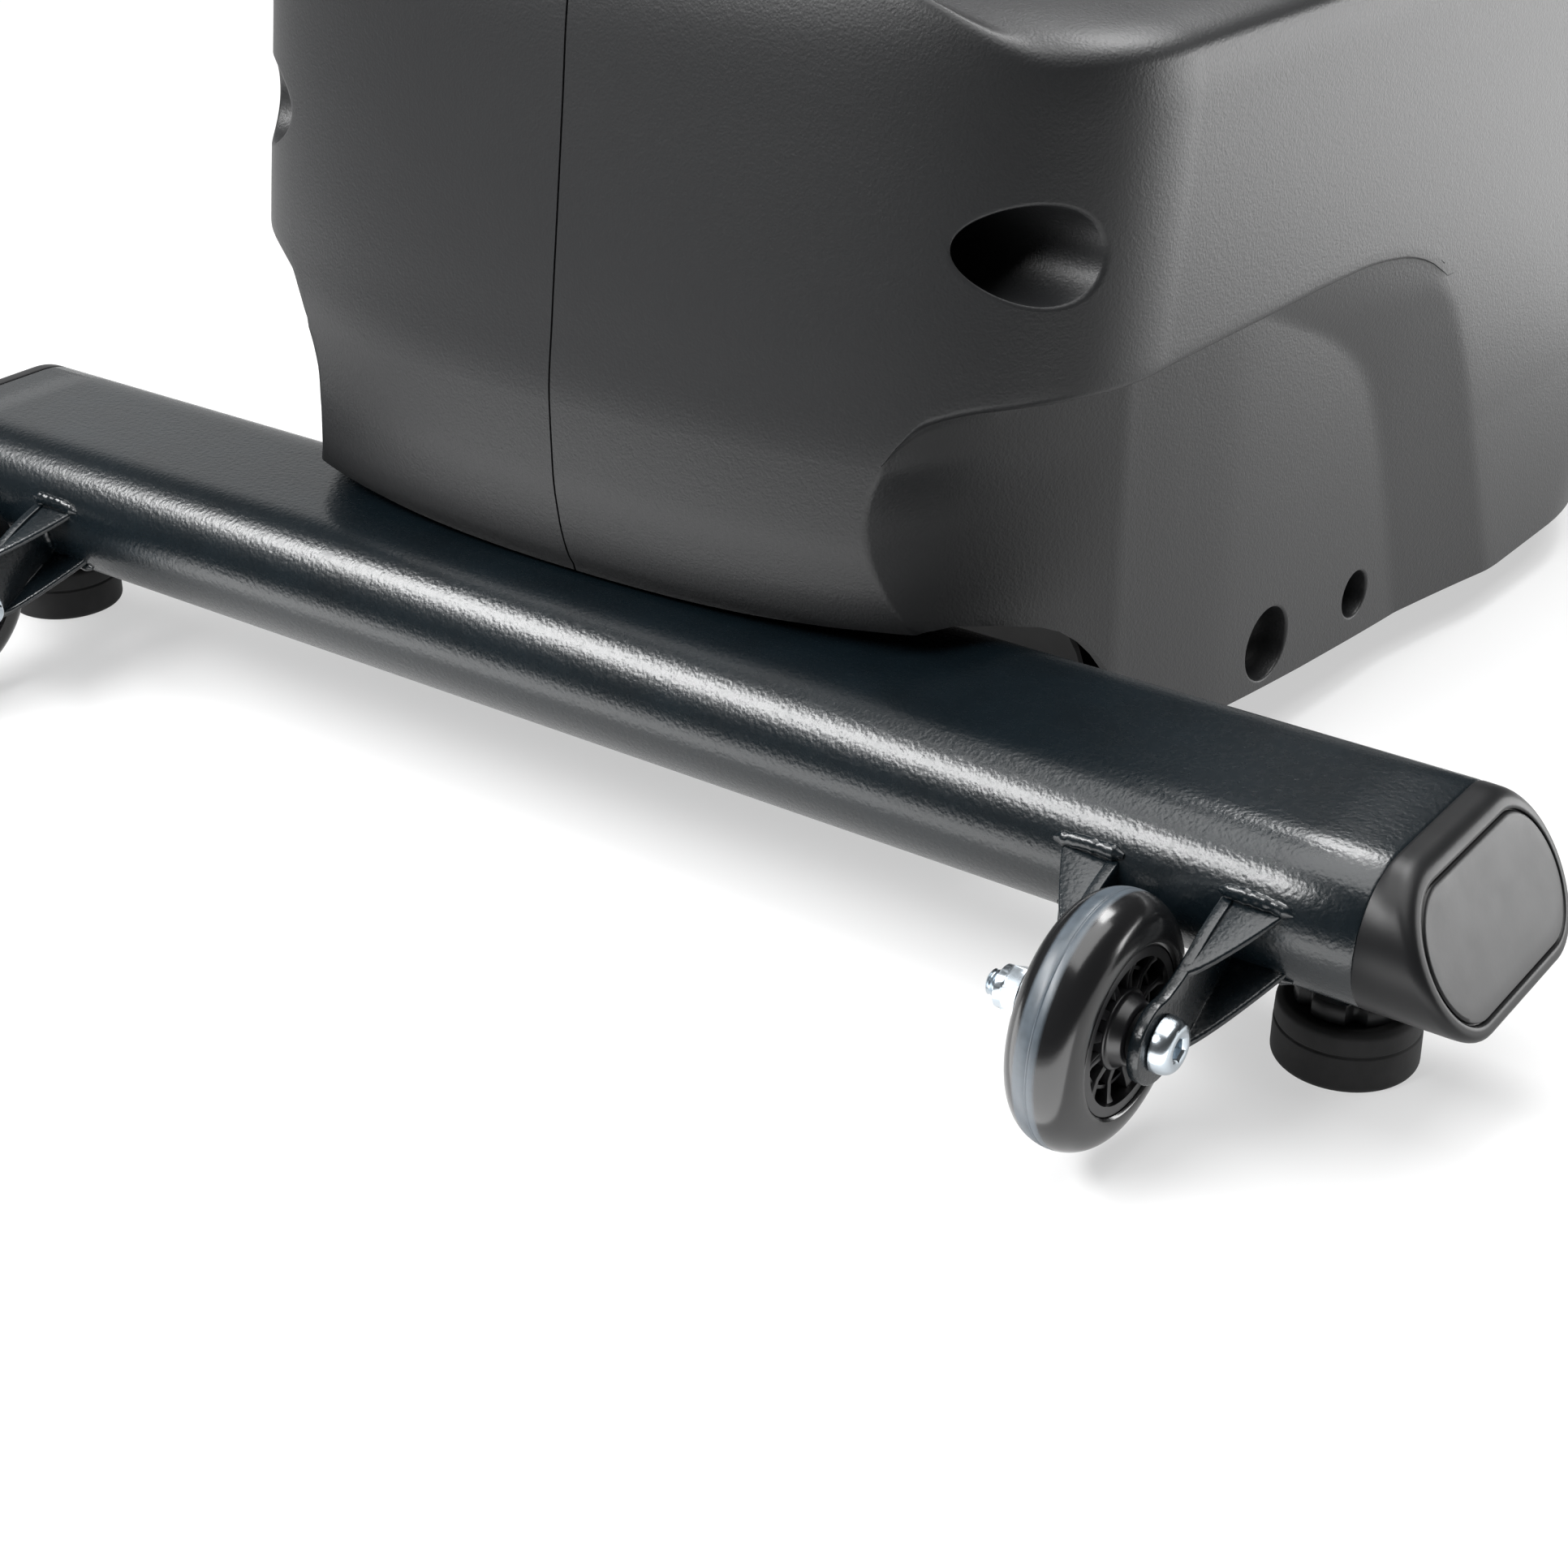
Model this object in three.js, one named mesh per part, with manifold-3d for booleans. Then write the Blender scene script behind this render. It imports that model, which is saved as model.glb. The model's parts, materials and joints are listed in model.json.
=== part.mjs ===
// Recumbent exercise bike: a standalone three.js model in millimetres, +Z up.
// X runs across the bike with the rider's left at +X, and Y runs from the front stabilizer (-Y) to the
// rear stabilizer (+Y). Every shape is drawn with the front stabilizer at y = 0, and the whole bike is
// then moved so that the middle of its bounding box stands at x = 0, y = 0.
import * as THREE from "three";
import { mergeVertices } from "three/addons/utils/BufferGeometryUtils.js";
import Module from "manifold-3d";

const wasm = await Module();
wasm.setup();

// ---------- driving dimensions ----------
const GAP = 0.3; // clearance between pieces that touch
const FRONT_REACH = 129; // from the front tube's axis to the front of the wheels
const REAR_Y = 1455; // from the front tube's axis to the rear tube's axis
const REAR_REACH = 50;

const TUBE = { width: 100, height: 50, wall: 2.5, z: 67.7, frontHalf: 318.4, rearHalf: 250 };
const TUBE_TOP = TUBE.z + TUBE.height / 2;
const TUBE_FLOOR = TUBE.z - TUBE.height / 2;
const CAP = { top: 9, slope: 0.56, rim: 5.4, spigot: 10 };
const WHEEL = { x: 258.7, y: -89, z: 46.9, radius: 40, half: 12, hub: 26.5, bore: 4.4 };
const BRACKET = { plate: 4, gap: 17, flange: 20, end: 13 };
const FOOT = { x: 297.7, rearX: 215, y: 4, radius: 23.4, height: 20, stud: 5 };
const BEAM = { width: 60, height: 70, start: 5, wall: 3 };
const BEAM_TOP = TUBE_TOP + GAP + BEAM.height;

const CRANK = { y: 330, z: 545, arm: 170, rest: 160, spindle: 8.5, armX: 74, armThick: 16 };
const PEDAL = { width: 100, length: 104, thick: 27, drop: 20, x: 100 };
const DRIVE = { radius: 125, x: 26, width: 14 };
const FLYWHEEL = { y: 230, z: 300, radius: 110, from: -50, width: 35, pulley: 19, axle: 7.5 };
const BRAKE = { inner: 113, outer: 123, pivotY: 118, pivotZ: 192, pivot: 5 };
const PLATES = { left: 46, right: -62, thick: 6 };

const CASING = { wall: 3, seam: 0.15, half: 186, flare: 0.055, cornerX: 130, cornerY: 86 };
const ARCH = { y: 14, z: 40, front: 48, rear: 71, rise: 62 }; // clearance arch over the front tube
const POCKET = { y: 23, z: 229, radius: 15 };
const MAST = { y0: 6, z0: 166, y1: 331, z1: 1123, width: 70, depth: 42, wall: 3 };
const CONSOLE = { y: 352, z: 1168, width: 360, height: 232, thick: 46, tilt: 38, screenW: 250, screenH: 124 };
const BAR = { radius: 15, z: 1045, half: 225, back: 160 };

const RAIL = { y0: 700, y1: 1452, z0: 352, slope: 12, width: 76, height: 42 };
const CARRIAGE = { y: 1110, length: 170, wall: 8, rise: 42 };
const SEAT = { y: 1056, z: 597, width: 430, length: 390, thick: 78 };
const BACK = { y: 1310, z: 882, width: 410, height: 500, thick: 74, recline: 20 };
const FRAME_TUBE = 14;
const SOFT_EDGE = 10; // rounding of the cushions' edges

// ---------- materials ----------
const finish = (color, roughness, metalness) => () =>
  new THREE.MeshStandardMaterial({ color, roughness, metalness });
const powderCoat = finish(0x232d34, 0.55, 0.3);
const steel = finish(0xb9bcc0, 0.35, 1);
const castIron = finish(0x3b3c3e, 0.7, 0.6);
const alloy = finish(0xa7aaad, 0.4, 1);
const casingPlastic = finish(0x3e3f42, 0.6, 0);
const capPlastic = finish(0x2b2b2c, 0.45, 0);
const hubPlastic = finish(0x1c1c1d, 0.5, 0);
const tyreRubber = finish(0x151617, 0.2, 0);
const footRubber = finish(0x17181a, 0.85, 0);
const gripFoam = finish(0x1a1a1b, 0.9, 0);
const seatVinyl = finish(0x222325, 0.6, 0);
const screenGlass = finish(0x0a0c10, 0.1, 0);

// ---------- helpers ----------
// A closed geometry as a manifold solid, faces outwards, which can be joined to and cut from others.
function solid(geometry) {
  const bare = geometry.clone();
  bare.deleteAttribute("normal");
  bare.deleteAttribute("uv");
  const merged = mergeVertices(bare, 1e-3);
  const vertProperties = new Float32Array(merged.attributes.position.array);
  const triVerts = new Uint32Array(merged.index.array);
  const made = () => new wasm.Manifold(new wasm.Mesh({ numProp: 3, vertProperties, triVerts }));
  const first = made();
  if (first.volume() > 0) return first;
  for (let i = 0; i < triVerts.length; i += 3) {
    [triVerts[i + 1], triVerts[i + 2]] = [triVerts[i + 2], triVerts[i + 1]];
  }
  return made();
}

function geometryOf(manifold) {
  const mesh = manifold.getMesh();
  const geometry = new THREE.BufferGeometry();
  geometry.setAttribute("position", new THREE.BufferAttribute(new Float32Array(mesh.vertProperties), 3));
  geometry.setIndex(new THREE.BufferAttribute(new Uint32Array(mesh.triVerts), 1));
  const flat = geometry.toNonIndexed();
  flat.computeVertexNormals();
  return flat;
}

const join = (...parts) => parts.reduce((a, b) => a.add(b));
const cut = (body, ...tools) => tools.reduce((a, b) => a.subtract(b), body);

// The largest of a body's separate lumps.
const biggest = (body) => body.decompose().sort((a, b) => b.volume() - a.volume())[0];

const box = (x0, x1, y0, y1, z0, z1) =>
  new THREE.BoxGeometry(x1 - x0, y1 - y0, z1 - z0).translate((x0 + x1) / 2, (y0 + y1) / 2, (z0 + z1) / 2);

// A cylinder whose axis runs along X, from x0 to x1.
const rodX = (radius, x0, x1, y, z, sides = 16) =>
  new THREE.CylinderGeometry(radius, radius, x1 - x0, sides)
    .rotateZ(-Math.PI / 2)
    .translate((x0 + x1) / 2, y, z);

// A cylinder whose axis runs along Z, from z0 to z1.
const rodZ = (radius, x, y, z0, z1, sides = 16, top = radius) =>
  new THREE.CylinderGeometry(top, radius, z1 - z0, sides).rotateX(Math.PI / 2).translate(x, y, (z0 + z1) / 2);

// A lathe profile of [radius, position] points, turned about an axis along X.
const latheX = (profile, x, y, z, sides = 20) =>
  new THREE.LatheGeometry(profile.map(([r, p]) => new THREE.Vector2(r, p)), sides)
    .rotateZ(-Math.PI / 2)
    .translate(x, y, z);

// A shape drawn in the Y-Z plane, extruded along X from x0 to x1.
function plateX(shape, x0, x1, curveSegments = 6) {
  const flat = new THREE.ExtrudeGeometry(shape, { depth: x1 - x0, bevelEnabled: false, curveSegments });
  const turn = new THREE.Matrix4().set(0, 0, 1, x0, 1, 0, 0, 0, 0, 1, 0, 0, 0, 0, 0, 1);
  return flat.applyMatrix4(turn);
}

// A shape drawn in the X-Y plane, extruded along Z from z0 to z1.
const plateZ = (shape, z0, z1, curveSegments = 6) =>
  new THREE.ExtrudeGeometry(shape, { depth: z1 - z0, bevelEnabled: false, curveSegments })
    .translate(0, 0, z0);

const polygon = (points) => new THREE.Shape(points.map(([a, b]) => new THREE.Vector2(a, b)));

// An oval with straight long sides: a rectangle with half-round ends.
function oval(width, height, inset = 0) {
  const r = height / 2 - inset;
  const straight = (width - height) / 2;
  const shape = new THREE.Shape();
  shape.moveTo(-straight, -r);
  shape.lineTo(straight, -r);
  shape.absarc(straight, 0, r, -Math.PI / 2, Math.PI / 2, false);
  shape.lineTo(-straight, r);
  shape.absarc(-straight, 0, r, Math.PI / 2, (3 * Math.PI) / 2, false);
  return shape;
}

function roundedRect(width, height, radius) {
  const x = width / 2 - radius;
  const y = height / 2 - radius;
  const shape = new THREE.Shape();
  shape.absarc(x, -y, radius, -Math.PI / 2, 0, false);
  shape.absarc(x, y, radius, 0, Math.PI / 2, false);
  shape.absarc(-x, y, radius, Math.PI / 2, Math.PI, false);
  shape.absarc(-x, -y, radius, Math.PI, 1.5 * Math.PI, false);
  return shape;
}

// A round bar swept along a smooth curve through the given points.
function sweep(points, radius, steps, sides = 12) {
  const section = new THREE.Shape();
  section.absarc(0, 0, radius, 0, 2 * Math.PI, false);
  const path = new THREE.CatmullRomCurve3(points.map((p) => new THREE.Vector3(...p)), false, "centripetal");
  return new THREE.ExtrudeGeometry(section, { steps, extrudePath: path, curveSegments: sides / 2 });
}

// Skins a stack of closed rings that all have the same number of points, and closes both ends.
function loft(rings) {
  const count = rings[0].length;
  const positions = rings.flat().flatMap((p) => [p.x, p.y, p.z]);
  const index = [];
  for (let i = 0; i + 1 < rings.length; i++) {
    for (let j = 0; j < count; j++) {
      const a = i * count + j;
      const b = i * count + ((j + 1) % count);
      index.push(a, b, b + count, a, b + count, a + count);
    }
  }
  const endFaces = (ring) => {
    const u = ring[1].clone().sub(ring[0]).normalize();
    const normal = new THREE.Vector3();
    ring.forEach((p, j) => normal.add(p.clone().cross(ring[(j + 1) % count])));
    const v = normal.normalize().clone().cross(u);
    return THREE.ShapeUtils.triangulateShape(ring.map((p) => new THREE.Vector2(p.dot(u), p.dot(v))), []);
  };
  const last = (rings.length - 1) * count;
  for (const [a, b, c] of endFaces(rings[0])) index.push(c, b, a);
  for (const [a, b, c] of endFaces(rings[rings.length - 1])) index.push(last + a, last + b, last + c);
  const geometry = new THREE.BufferGeometry();
  geometry.setAttribute("position", new THREE.Float32BufferAttribute(positions, 3));
  geometry.setIndex(index);
  return geometry;
}

const bike = new THREE.Group();
bike.position.y = (FRONT_REACH - REAR_Y - REAR_REACH) / 2;

function add(name, shape, material) {
  const geometry = geometryOf(shape instanceof THREE.BufferGeometry ? solid(shape) : shape);
  const mesh = new THREE.Mesh(geometry, material());
  mesh.name = name;
  bike.add(mesh);
}

const SIDES = [
  ["left", 1],
  ["right", -1],
];
const mirrored = (geometry, side) => solid(geometry.clone().scale(side, 1, 1));
const addPair = (stem, shape, material, suffix = "") => {
  const geometry = shape instanceof THREE.BufferGeometry ? shape : geometryOf(shape);
  for (const [word, side] of SIDES) add(`${stem}_${word}${suffix}`, mirrored(geometry, side), material);
};

// ---------- stabilizers, end caps and feet ----------
function stabilizer(name, y, half, footX, footY) {
  const shape = oval(TUBE.width, TUBE.height);
  shape.holes.push(oval(TUBE.width, TUBE.height, TUBE.wall));
  const holes = [1, -1].map((side) =>
    solid(rodZ(FOOT.stud + 1, side * footX, y + footY, TUBE_FLOOR - 5, TUBE_FLOOR + 5, 16)));
  const tube = solid(plateX(shape, -half, half, 7).translate(0, y, TUBE.z));
  add(name, cut(tube, ...holes), powderCoat);
}

// The cap's outer face slants: its foot stands further out than its top.
function endCap(stem, y, half) {
  const ring = (inset, x) =>
    oval(TUBE.width, TUBE.height, inset)
      .getPoints(7)
      .slice(0, -1)
      .map((p) => new THREE.Vector3(x(p.y), y + p.x, TUBE.z + p.y));
  const face = (z) => half + CAP.top + CAP.slope * (TUBE.height / 2 - z);
  const plug = TUBE.wall + 0.6;
  const body = loft([
    ring(plug, () => half - CAP.spigot),
    ring(plug, () => half + GAP),
    ring(0, () => half + GAP),
    ring(0, (z) => face(z) - 5),
    ring(CAP.rim * 0.35, (z) => face(z) - 1.2),
    ring(CAP.rim, face),
  ]);
  addPair(stem, body, capPlastic);
}

// A rubber pad under a threaded stud, screwed right in at rest.
function levellingFeet(stem, x, y) {
  const pad = rodZ(FOOT.radius, x, y, 0, FOOT.height, 20, FOOT.radius - 0.8);
  const collar = rodZ(15, x, y, FOOT.height - 1, FOOT.height + 9, 6);
  const stud = rodZ(FOOT.stud, x, y, FOOT.height, TUBE.z + 12, 10);
  addPair(stem, join(solid(pad), solid(collar), solid(stud)), footRubber);
}

// ---------- transport wheels ----------
function bracketPlate(towards) {
  const { x, y, z } = WHEEL;
  const root = -TUBE.width / 2 + 1.5;
  const topRoot = TUBE.z + 9;
  const lowRoot = TUBE.z - 16;
  const web = new THREE.Shape();
  web.moveTo(root, lowRoot);
  web.lineTo(root, topRoot);
  web.lineTo(y - 4, z + BRACKET.end);
  web.absarc(y, z, BRACKET.end, 1.7, 1.35 * Math.PI, false);
  const inner = x + towards * BRACKET.gap;
  const outer = inner + towards * BRACKET.plate;
  const slab = (shape, a, b) => solid(plateX(shape, Math.min(a, b), Math.max(a, b), 10));
  const t = BRACKET.plate;
  const reach = inner + towards * BRACKET.flange;
  const flange = (near, far) => {
    const [y0, z0] = near;
    const [y1, z1] = far;
    const ring = (yy, zz, wide) =>
      [[inner, 0], [wide, 0], [wide, t], [inner, t]].map(([a, b]) => new THREE.Vector3(a, yy, zz + b));
    return solid(loft([ring(y1, z1, outer + towards * 0.5), ring(y0, z0, reach)]));
  };
  const clearance = oval(TUBE.width + 2 * GAP, TUBE.height + 2 * GAP);
  const tube = solid(plateX(clearance, x - 100, x + 90, 7).translate(0, 0, TUBE.z));
  const bore = solid(rodX(WHEEL.bore, x - 60, x + 60, y, z, 16));
  const whole = join(
    slab(web, inner, outer),
    flange([root + 4, topRoot - t], [y + 12, z + BRACKET.end - t + 1]),
    flange([root + 4, lowRoot], [y + 12, z - 11.5]),
  );
  return cut(whole, tube, bore);
}

function wheels() {
  const { x, y, z, radius, half, hub, bore } = WHEEL;
  const tyre = [];
  const round = 12;
  for (let i = 0; i <= 6; i++) {
    const a = -Math.PI / 2 + (i * Math.PI) / 6;
    tyre.push([radius - round + round * Math.cos(a), half * Math.sin(a)]);
  }
  tyre.push([hub + GAP, half], [hub + GAP, -half], [radius - round, -half]);
  addPair("wheel_tyre", latheX(tyre, x, y, z, 24), tyreRubber);
  const ring = latheX([[21, -11], [hub, -11], [hub, 11], [21, 11], [21, -11]], x, y, z, 20);
  const eye = bore + 0.4;
  const boss = latheX([[eye, -14], [12, -14], [12, 14], [eye, 14], [eye, -14]], x, y, z, 16);
  const spokes = Array.from({ length: 6 }, (_, i) => {
    const bar = new THREE.BoxGeometry(20, 3, 13).translate(0, 0, 17);
    return solid(bar.rotateX((i * Math.PI) / 3).translate(x, y, z));
  });
  addPair("wheel_hub", join(solid(ring), solid(boss), ...spokes), hubPlastic);
  const head = BRACKET.gap + BRACKET.plate + GAP;
  const bolt = latheX(
    [
      [0, -34], [bore - 0.4, -34], [bore - 0.4, head], [9, head],
      [8.4, head + 3], [5, head + 6], [0, head + 6.8],
    ],
    x, y, z, 12);
  addPair("axle_bolt", bolt, steel);
  const nutInner = -(BRACKET.gap + BRACKET.plate + GAP);
  const nutEnd = nutInner - 9;
  const nut = latheX(
    [[5.1, nutEnd], [8, nutEnd], [8.6, nutInner], [5.1, nutInner], [5.1, nutEnd]], x, y, z, 6);
  addPair("lock_nut", nut, steel);
  addPair("wheel_bracket", bracketPlate(1), powderCoat, "_outer");
  addPair("wheel_bracket", bracketPlate(-1), powderCoat, "_inner");
}

// ---------- frame ----------
function mainBeam() {
  const end = REAR_Y + 30;
  const floor = TUBE_TOP + GAP;
  const half = BEAM.width / 2;
  const outer = solid(box(-half, half, BEAM.start, end, floor, BEAM_TOP));
  const bore = half - BEAM.wall;
  const inner = solid(box(-bore, bore, BEAM.start - 5, end + 5, floor + BEAM.wall, BEAM_TOP - BEAM.wall));
  add("main_beam", cut(outer, inner), powderCoat);
}

// Base plate, two side plates for the flywheel and brake, and the upright with the crank bearing shell.
function crankSupport() {
  const base = BEAM_TOP + GAP;
  const side = polygon([[100, base], [280, base], [250, 332], [214, 332], [100, 222]]);
  const { left, right, thick } = PLATES;
  const plates = [left, right].map((x) => solid(plateX(side, x, x + thick)));
  const floor = solid(box(right, left + thick, 100, 384, base, base + 8));
  const upright = solid(box(-12, 12, 300, 360, base, CRANK.z));
  const shell = solid(rodX(25, -34, 22, CRANK.y, CRANK.z, 16));
  const bores = [
    solid(rodX(17.5, -40, -24, CRANK.y, CRANK.z, 16)),
    solid(rodX(17.5, 12, 30, CRANK.y, CRANK.z, 16)),
    solid(rodX(12, -30, 20, CRANK.y, CRANK.z, 16)),
    solid(rodX(FLYWHEEL.axle + GAP, -80, 80, FLYWHEEL.y, FLYWHEEL.z, 16)),
  ];
  const pivot = solid(rodX(BRAKE.pivot, right + 1, left + 1, BRAKE.pivotY, BRAKE.pivotZ, 16));
  add("crank_support", join(cut(join(...plates, floor, upright, shell), ...bores), pivot), powderCoat);
}

function crankSet() {
  const { y, z } = CRANK;
  const bearing = (x0, x1) =>
    latheX([[8.8, x0], [17.2, x0], [17.2, x1], [8.8, x1], [8.8, x0]], 0, y, z, 16);
  add("crank_bearing_left", bearing(12.3, 22), steel);
  add("crank_bearing_right", bearing(-34, -24.3), steel);
  add("crank_spindle", rodX(CRANK.spindle, -88, 88, y, z, 16), steel);
  const { radius, x, width } = DRIVE;
  const web = 4;
  const rimProfile = [
    [8.8, x], [24, x], [24, x + 4], [radius - 12, x + 4], [radius - 12, x], [radius, x],
    [radius, x + width],
    [radius - 12, x + width], [radius - 12, x + 4 + web], [24, x + 4 + web], [24, x + width],
    [8.8, x + width], [8.8, x],
  ];
  add("drive_pulley", latheX(rimProfile, 0, y, z, 28), castIron);
  crankArms();
}

const crankEnd = (side) => {
  const angle = THREE.MathUtils.degToRad(CRANK.rest) + (side > 0 ? 0 : Math.PI);
  return [CRANK.y + CRANK.arm * Math.cos(angle), CRANK.z + CRANK.arm * Math.sin(angle)];
};

function crankArms() {
  for (const [word, side] of SIDES) {
    const [py, pz] = crankEnd(side);
    const dir = Math.atan2(pz - CRANK.z, py - CRANK.y);
    const blade = new THREE.Shape();
    blade.absarc(0, 0, 19, Math.PI / 2, (3 * Math.PI) / 2, false);
    blade.absarc(CRANK.arm, 0, 14, -Math.PI / 2, Math.PI / 2, false);
    const x0 = side > 0 ? CRANK.armX : -CRANK.armX - CRANK.armThick;
    const arm = plateX(blade, x0, x0 + CRANK.armThick, 12).rotateX(dir).translate(0, CRANK.y, CRANK.z);
    const bore = solid(rodX(CRANK.spindle + GAP, -100, 100, CRANK.y, CRANK.z, 16));
    const inner = side * (CRANK.armX + 2);
    const tip = side * (PEDAL.x + PEDAL.width - 8);
    const pin = rodX(5, Math.min(inner, tip), Math.max(inner, tip), py, pz, 16);
    add(`crank_arm_${word}`, join(cut(solid(arm), bore), solid(pin)), alloy);
  }
}

// A wide platform pedal; the moulded body turns on the pin of its crank arm.
function pedals() {
  for (const [word, side] of SIDES) {
    const [py, pz] = crankEnd(side);
    const x0 = side > 0 ? PEDAL.x : -PEDAL.x - PEDAL.width;
    const body = new THREE.ExtrudeGeometry(roundedRect(PEDAL.width, PEDAL.length, 14), {
      depth: PEDAL.thick, bevelEnabled: false, curveSegments: 5,
    }).translate(x0 + PEDAL.width / 2, py, pz - PEDAL.drop);
    const bore = solid(rodX(5.4, x0 - 1, x0 + PEDAL.width + 1, py, pz, 16));
    add(`pedal_${word}`, cut(solid(body), bore), hubPlastic);
    const strap = new THREE.Shape();
    strap.absellipse(0, 0, PEDAL.width / 2 + 6, 66, 0, Math.PI, false);
    strap.absellipse(0, 0, PEDAL.width / 2 + 3, 63, Math.PI, 0, true);
    const band = new THREE.ExtrudeGeometry(strap, { depth: 34, bevelEnabled: false, curveSegments: 10 })
      .rotateX(Math.PI / 2)
      .translate(x0 + PEDAL.width / 2, py - 8, pz - 6);
    add(`pedal_strap_${word}`, band, tyreRubber);
  }
}

// The belt's loop: two arcs joined by the outer tangents of the two pulleys.
function driveBelt() {
  const dy = FLYWHEEL.y - CRANK.y;
  const dz = FLYWHEEL.z - CRANK.z;
  const distance = Math.hypot(dy, dz);
  const heading = Math.atan2(dz, dy);
  const loop = (grow) => {
    const big = DRIVE.radius + grow;
    const small = FLYWHEEL.pulley + grow;
    const lean = Math.acos((big - small) / distance);
    const shape = new THREE.Path();
    shape.absarc(CRANK.y, CRANK.z, big, heading + lean, heading - lean + 2 * Math.PI, false);
    shape.absarc(FLYWHEEL.y, FLYWHEEL.z, small, heading - lean, heading + lean, false);
    return shape.getPoints(18);
  };
  const shape = new THREE.Shape(loop(4.2));
  shape.holes.push(new THREE.Path(loop(1.4)));
  add("drive_belt", plateX(shape, DRIVE.x + 1, DRIVE.x + DRIVE.width - 1), tyreRubber);
}

function flywheelSet() {
  const { y, z, radius, from, width, pulley, axle } = FLYWHEEL;
  const bore = axle + 0.6;
  const profile = [
    [bore, from + 2], [30, from + 2], [30, from + 10], [radius - 22, from + 10], [radius - 22, from],
    [radius, from], [radius, from + width], [radius - 22, from + width], [radius - 22, from + 24],
    [30, from + 24],
    [24, DRIVE.x - 1], [pulley, DRIVE.x - 1], [pulley, DRIVE.x + DRIVE.width], [bore, DRIVE.x + DRIVE.width],
    [bore, from + 2],
  ];
  add("flywheel", latheX(profile, 0, y, z, 28), castIron);
  add("flywheel_axle", rodX(axle, PLATES.right - 8, PLATES.left + 14, y, z, 16), steel);
}

// A curved shoe of magnets that wraps the front of the flywheel and swings away about its lower pin.
function brake() {
  const { y, z, from, width } = FLYWHEEL;
  const start = THREE.MathUtils.degToRad(152);
  const end = THREE.MathUtils.degToRad(222);
  const shoe = new THREE.Shape();
  shoe.absarc(y, z, BRAKE.outer, start, end, false);
  shoe.absarc(y, z, BRAKE.inner, end, start, true);
  const lug = new THREE.Shape();
  lug.absarc(BRAKE.pivotY, BRAKE.pivotZ, 11, 0.9 * Math.PI, 2.1 * Math.PI, false);
  lug.lineTo(y + BRAKE.inner * Math.cos(end), z + BRAKE.inner * Math.sin(end) + 4);
  lug.lineTo(y + BRAKE.outer * Math.cos(end - 0.12), z + BRAKE.outer * Math.sin(end - 0.12));
  const x0 = from - 4;
  const x1 = from + width + 4;
  const bore = solid(rodX(BRAKE.pivot + GAP, x0 - 5, x1 + 5, BRAKE.pivotY, BRAKE.pivotZ, 20));
  const body = join(solid(plateX(shoe, x0, x1, 8)), solid(plateX(lug, x0, x1, 6)));
  add("brake_arm", cut(body, bore), alloy);
}

// ---------- casing ----------
// Side profile of the casing: [height, front edge, rear edge, half width, rear corner length].
const CASING_LEVELS = [
  [12, -6, 548, 186],
  [94, -10.1, 572, 186],
  [115, -17.3, 574, 186],
  [150, -20.5, 576, 186],
  [192, -17, 576, 186],
  [286, -3.6, 562, 184],
  [293, -1, 556, 172],
  [304, 2, 552, 108],
  [326, 8, 548, 80],
  [352, 15, 545, 68],
  [420, 38, 540, 62],
  [520, 72, 532, 60],
  [600, 106, 508, 58],
  [650, 134, 472, 56],
  [682, 172, 424, 50],
  [692, 205, 390, 40],
];

// Half of the casing's plan at one level, from the seam's front to the seam's rear.
function halfPlan([z, front, rear, half], inset) {
  const scale = half / CASING.half;
  const w = half - inset;
  const f = front + inset;
  const r = rear - inset;
  const corner = CASING.cornerY * Math.min(1, 0.35 + 0.65 * scale);
  const rearCorner = 150 * Math.min(1, 0.4 + 0.6 * scale);
  const grow = CASING.flare * scale * (r - f - corner - rearCorner);
  const path = new THREE.Path();
  path.moveTo(0, f);
  path.bezierCurveTo(w * (CASING.cornerX / CASING.half), f, w, f + corner * 0.256, w, f + corner);
  path.lineTo(w + grow, r - rearCorner);
  path.bezierCurveTo(w + grow + 2, r - rearCorner * 0.35, w * 0.62, r, 0, r);
  const points = path.getPoints(6);
  return points.map((p) => new THREE.Vector3(Math.max(p.x, 0), p.y, z));
}

// The casing's left half as a solid, shrunk by inset, down to the plane x = seam.
function halfCasing(inset, seam) {
  const last = CASING_LEVELS.length - 1;
  const rings = CASING_LEVELS.map((level, i) => {
    const lower = i === last ? inset : 0;
    return halfPlan(level, inset).map((p) => new THREE.Vector3(Math.max(p.x, seam), p.y, p.z - lower));
  });
  return solid(loft(rings));
}

// The scalloped recess low on the side: a cylinder-like floor inside a rounded outline.
function recessTool() {
  const plan = new THREE.Shape();
  plan.moveTo(108, -12);
  plan.bezierCurveTo(143, -2, 160, 35, 168, 77);
  plan.lineTo(179, 144);
  plan.lineTo(187.5, 271);
  plan.lineTo(201, 346);
  plan.lineTo(260, 346);
  plan.lineTo(260, -60);
  plan.lineTo(108, -60);
  const outline = new THREE.Shape();
  outline.moveTo(-40, 0);
  outline.lineTo(-40, 158);
  outline.quadraticCurveTo(-4, 176, 51, 183);
  outline.lineTo(205, 186);
  outline.quadraticCurveTo(262, 187, 283, 149);
  outline.lineTo(356, 0);
  return solid(plateZ(plan, -5, 250, 8)).intersect(solid(plateX(outline, 60, 300, 8)));
}

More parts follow.
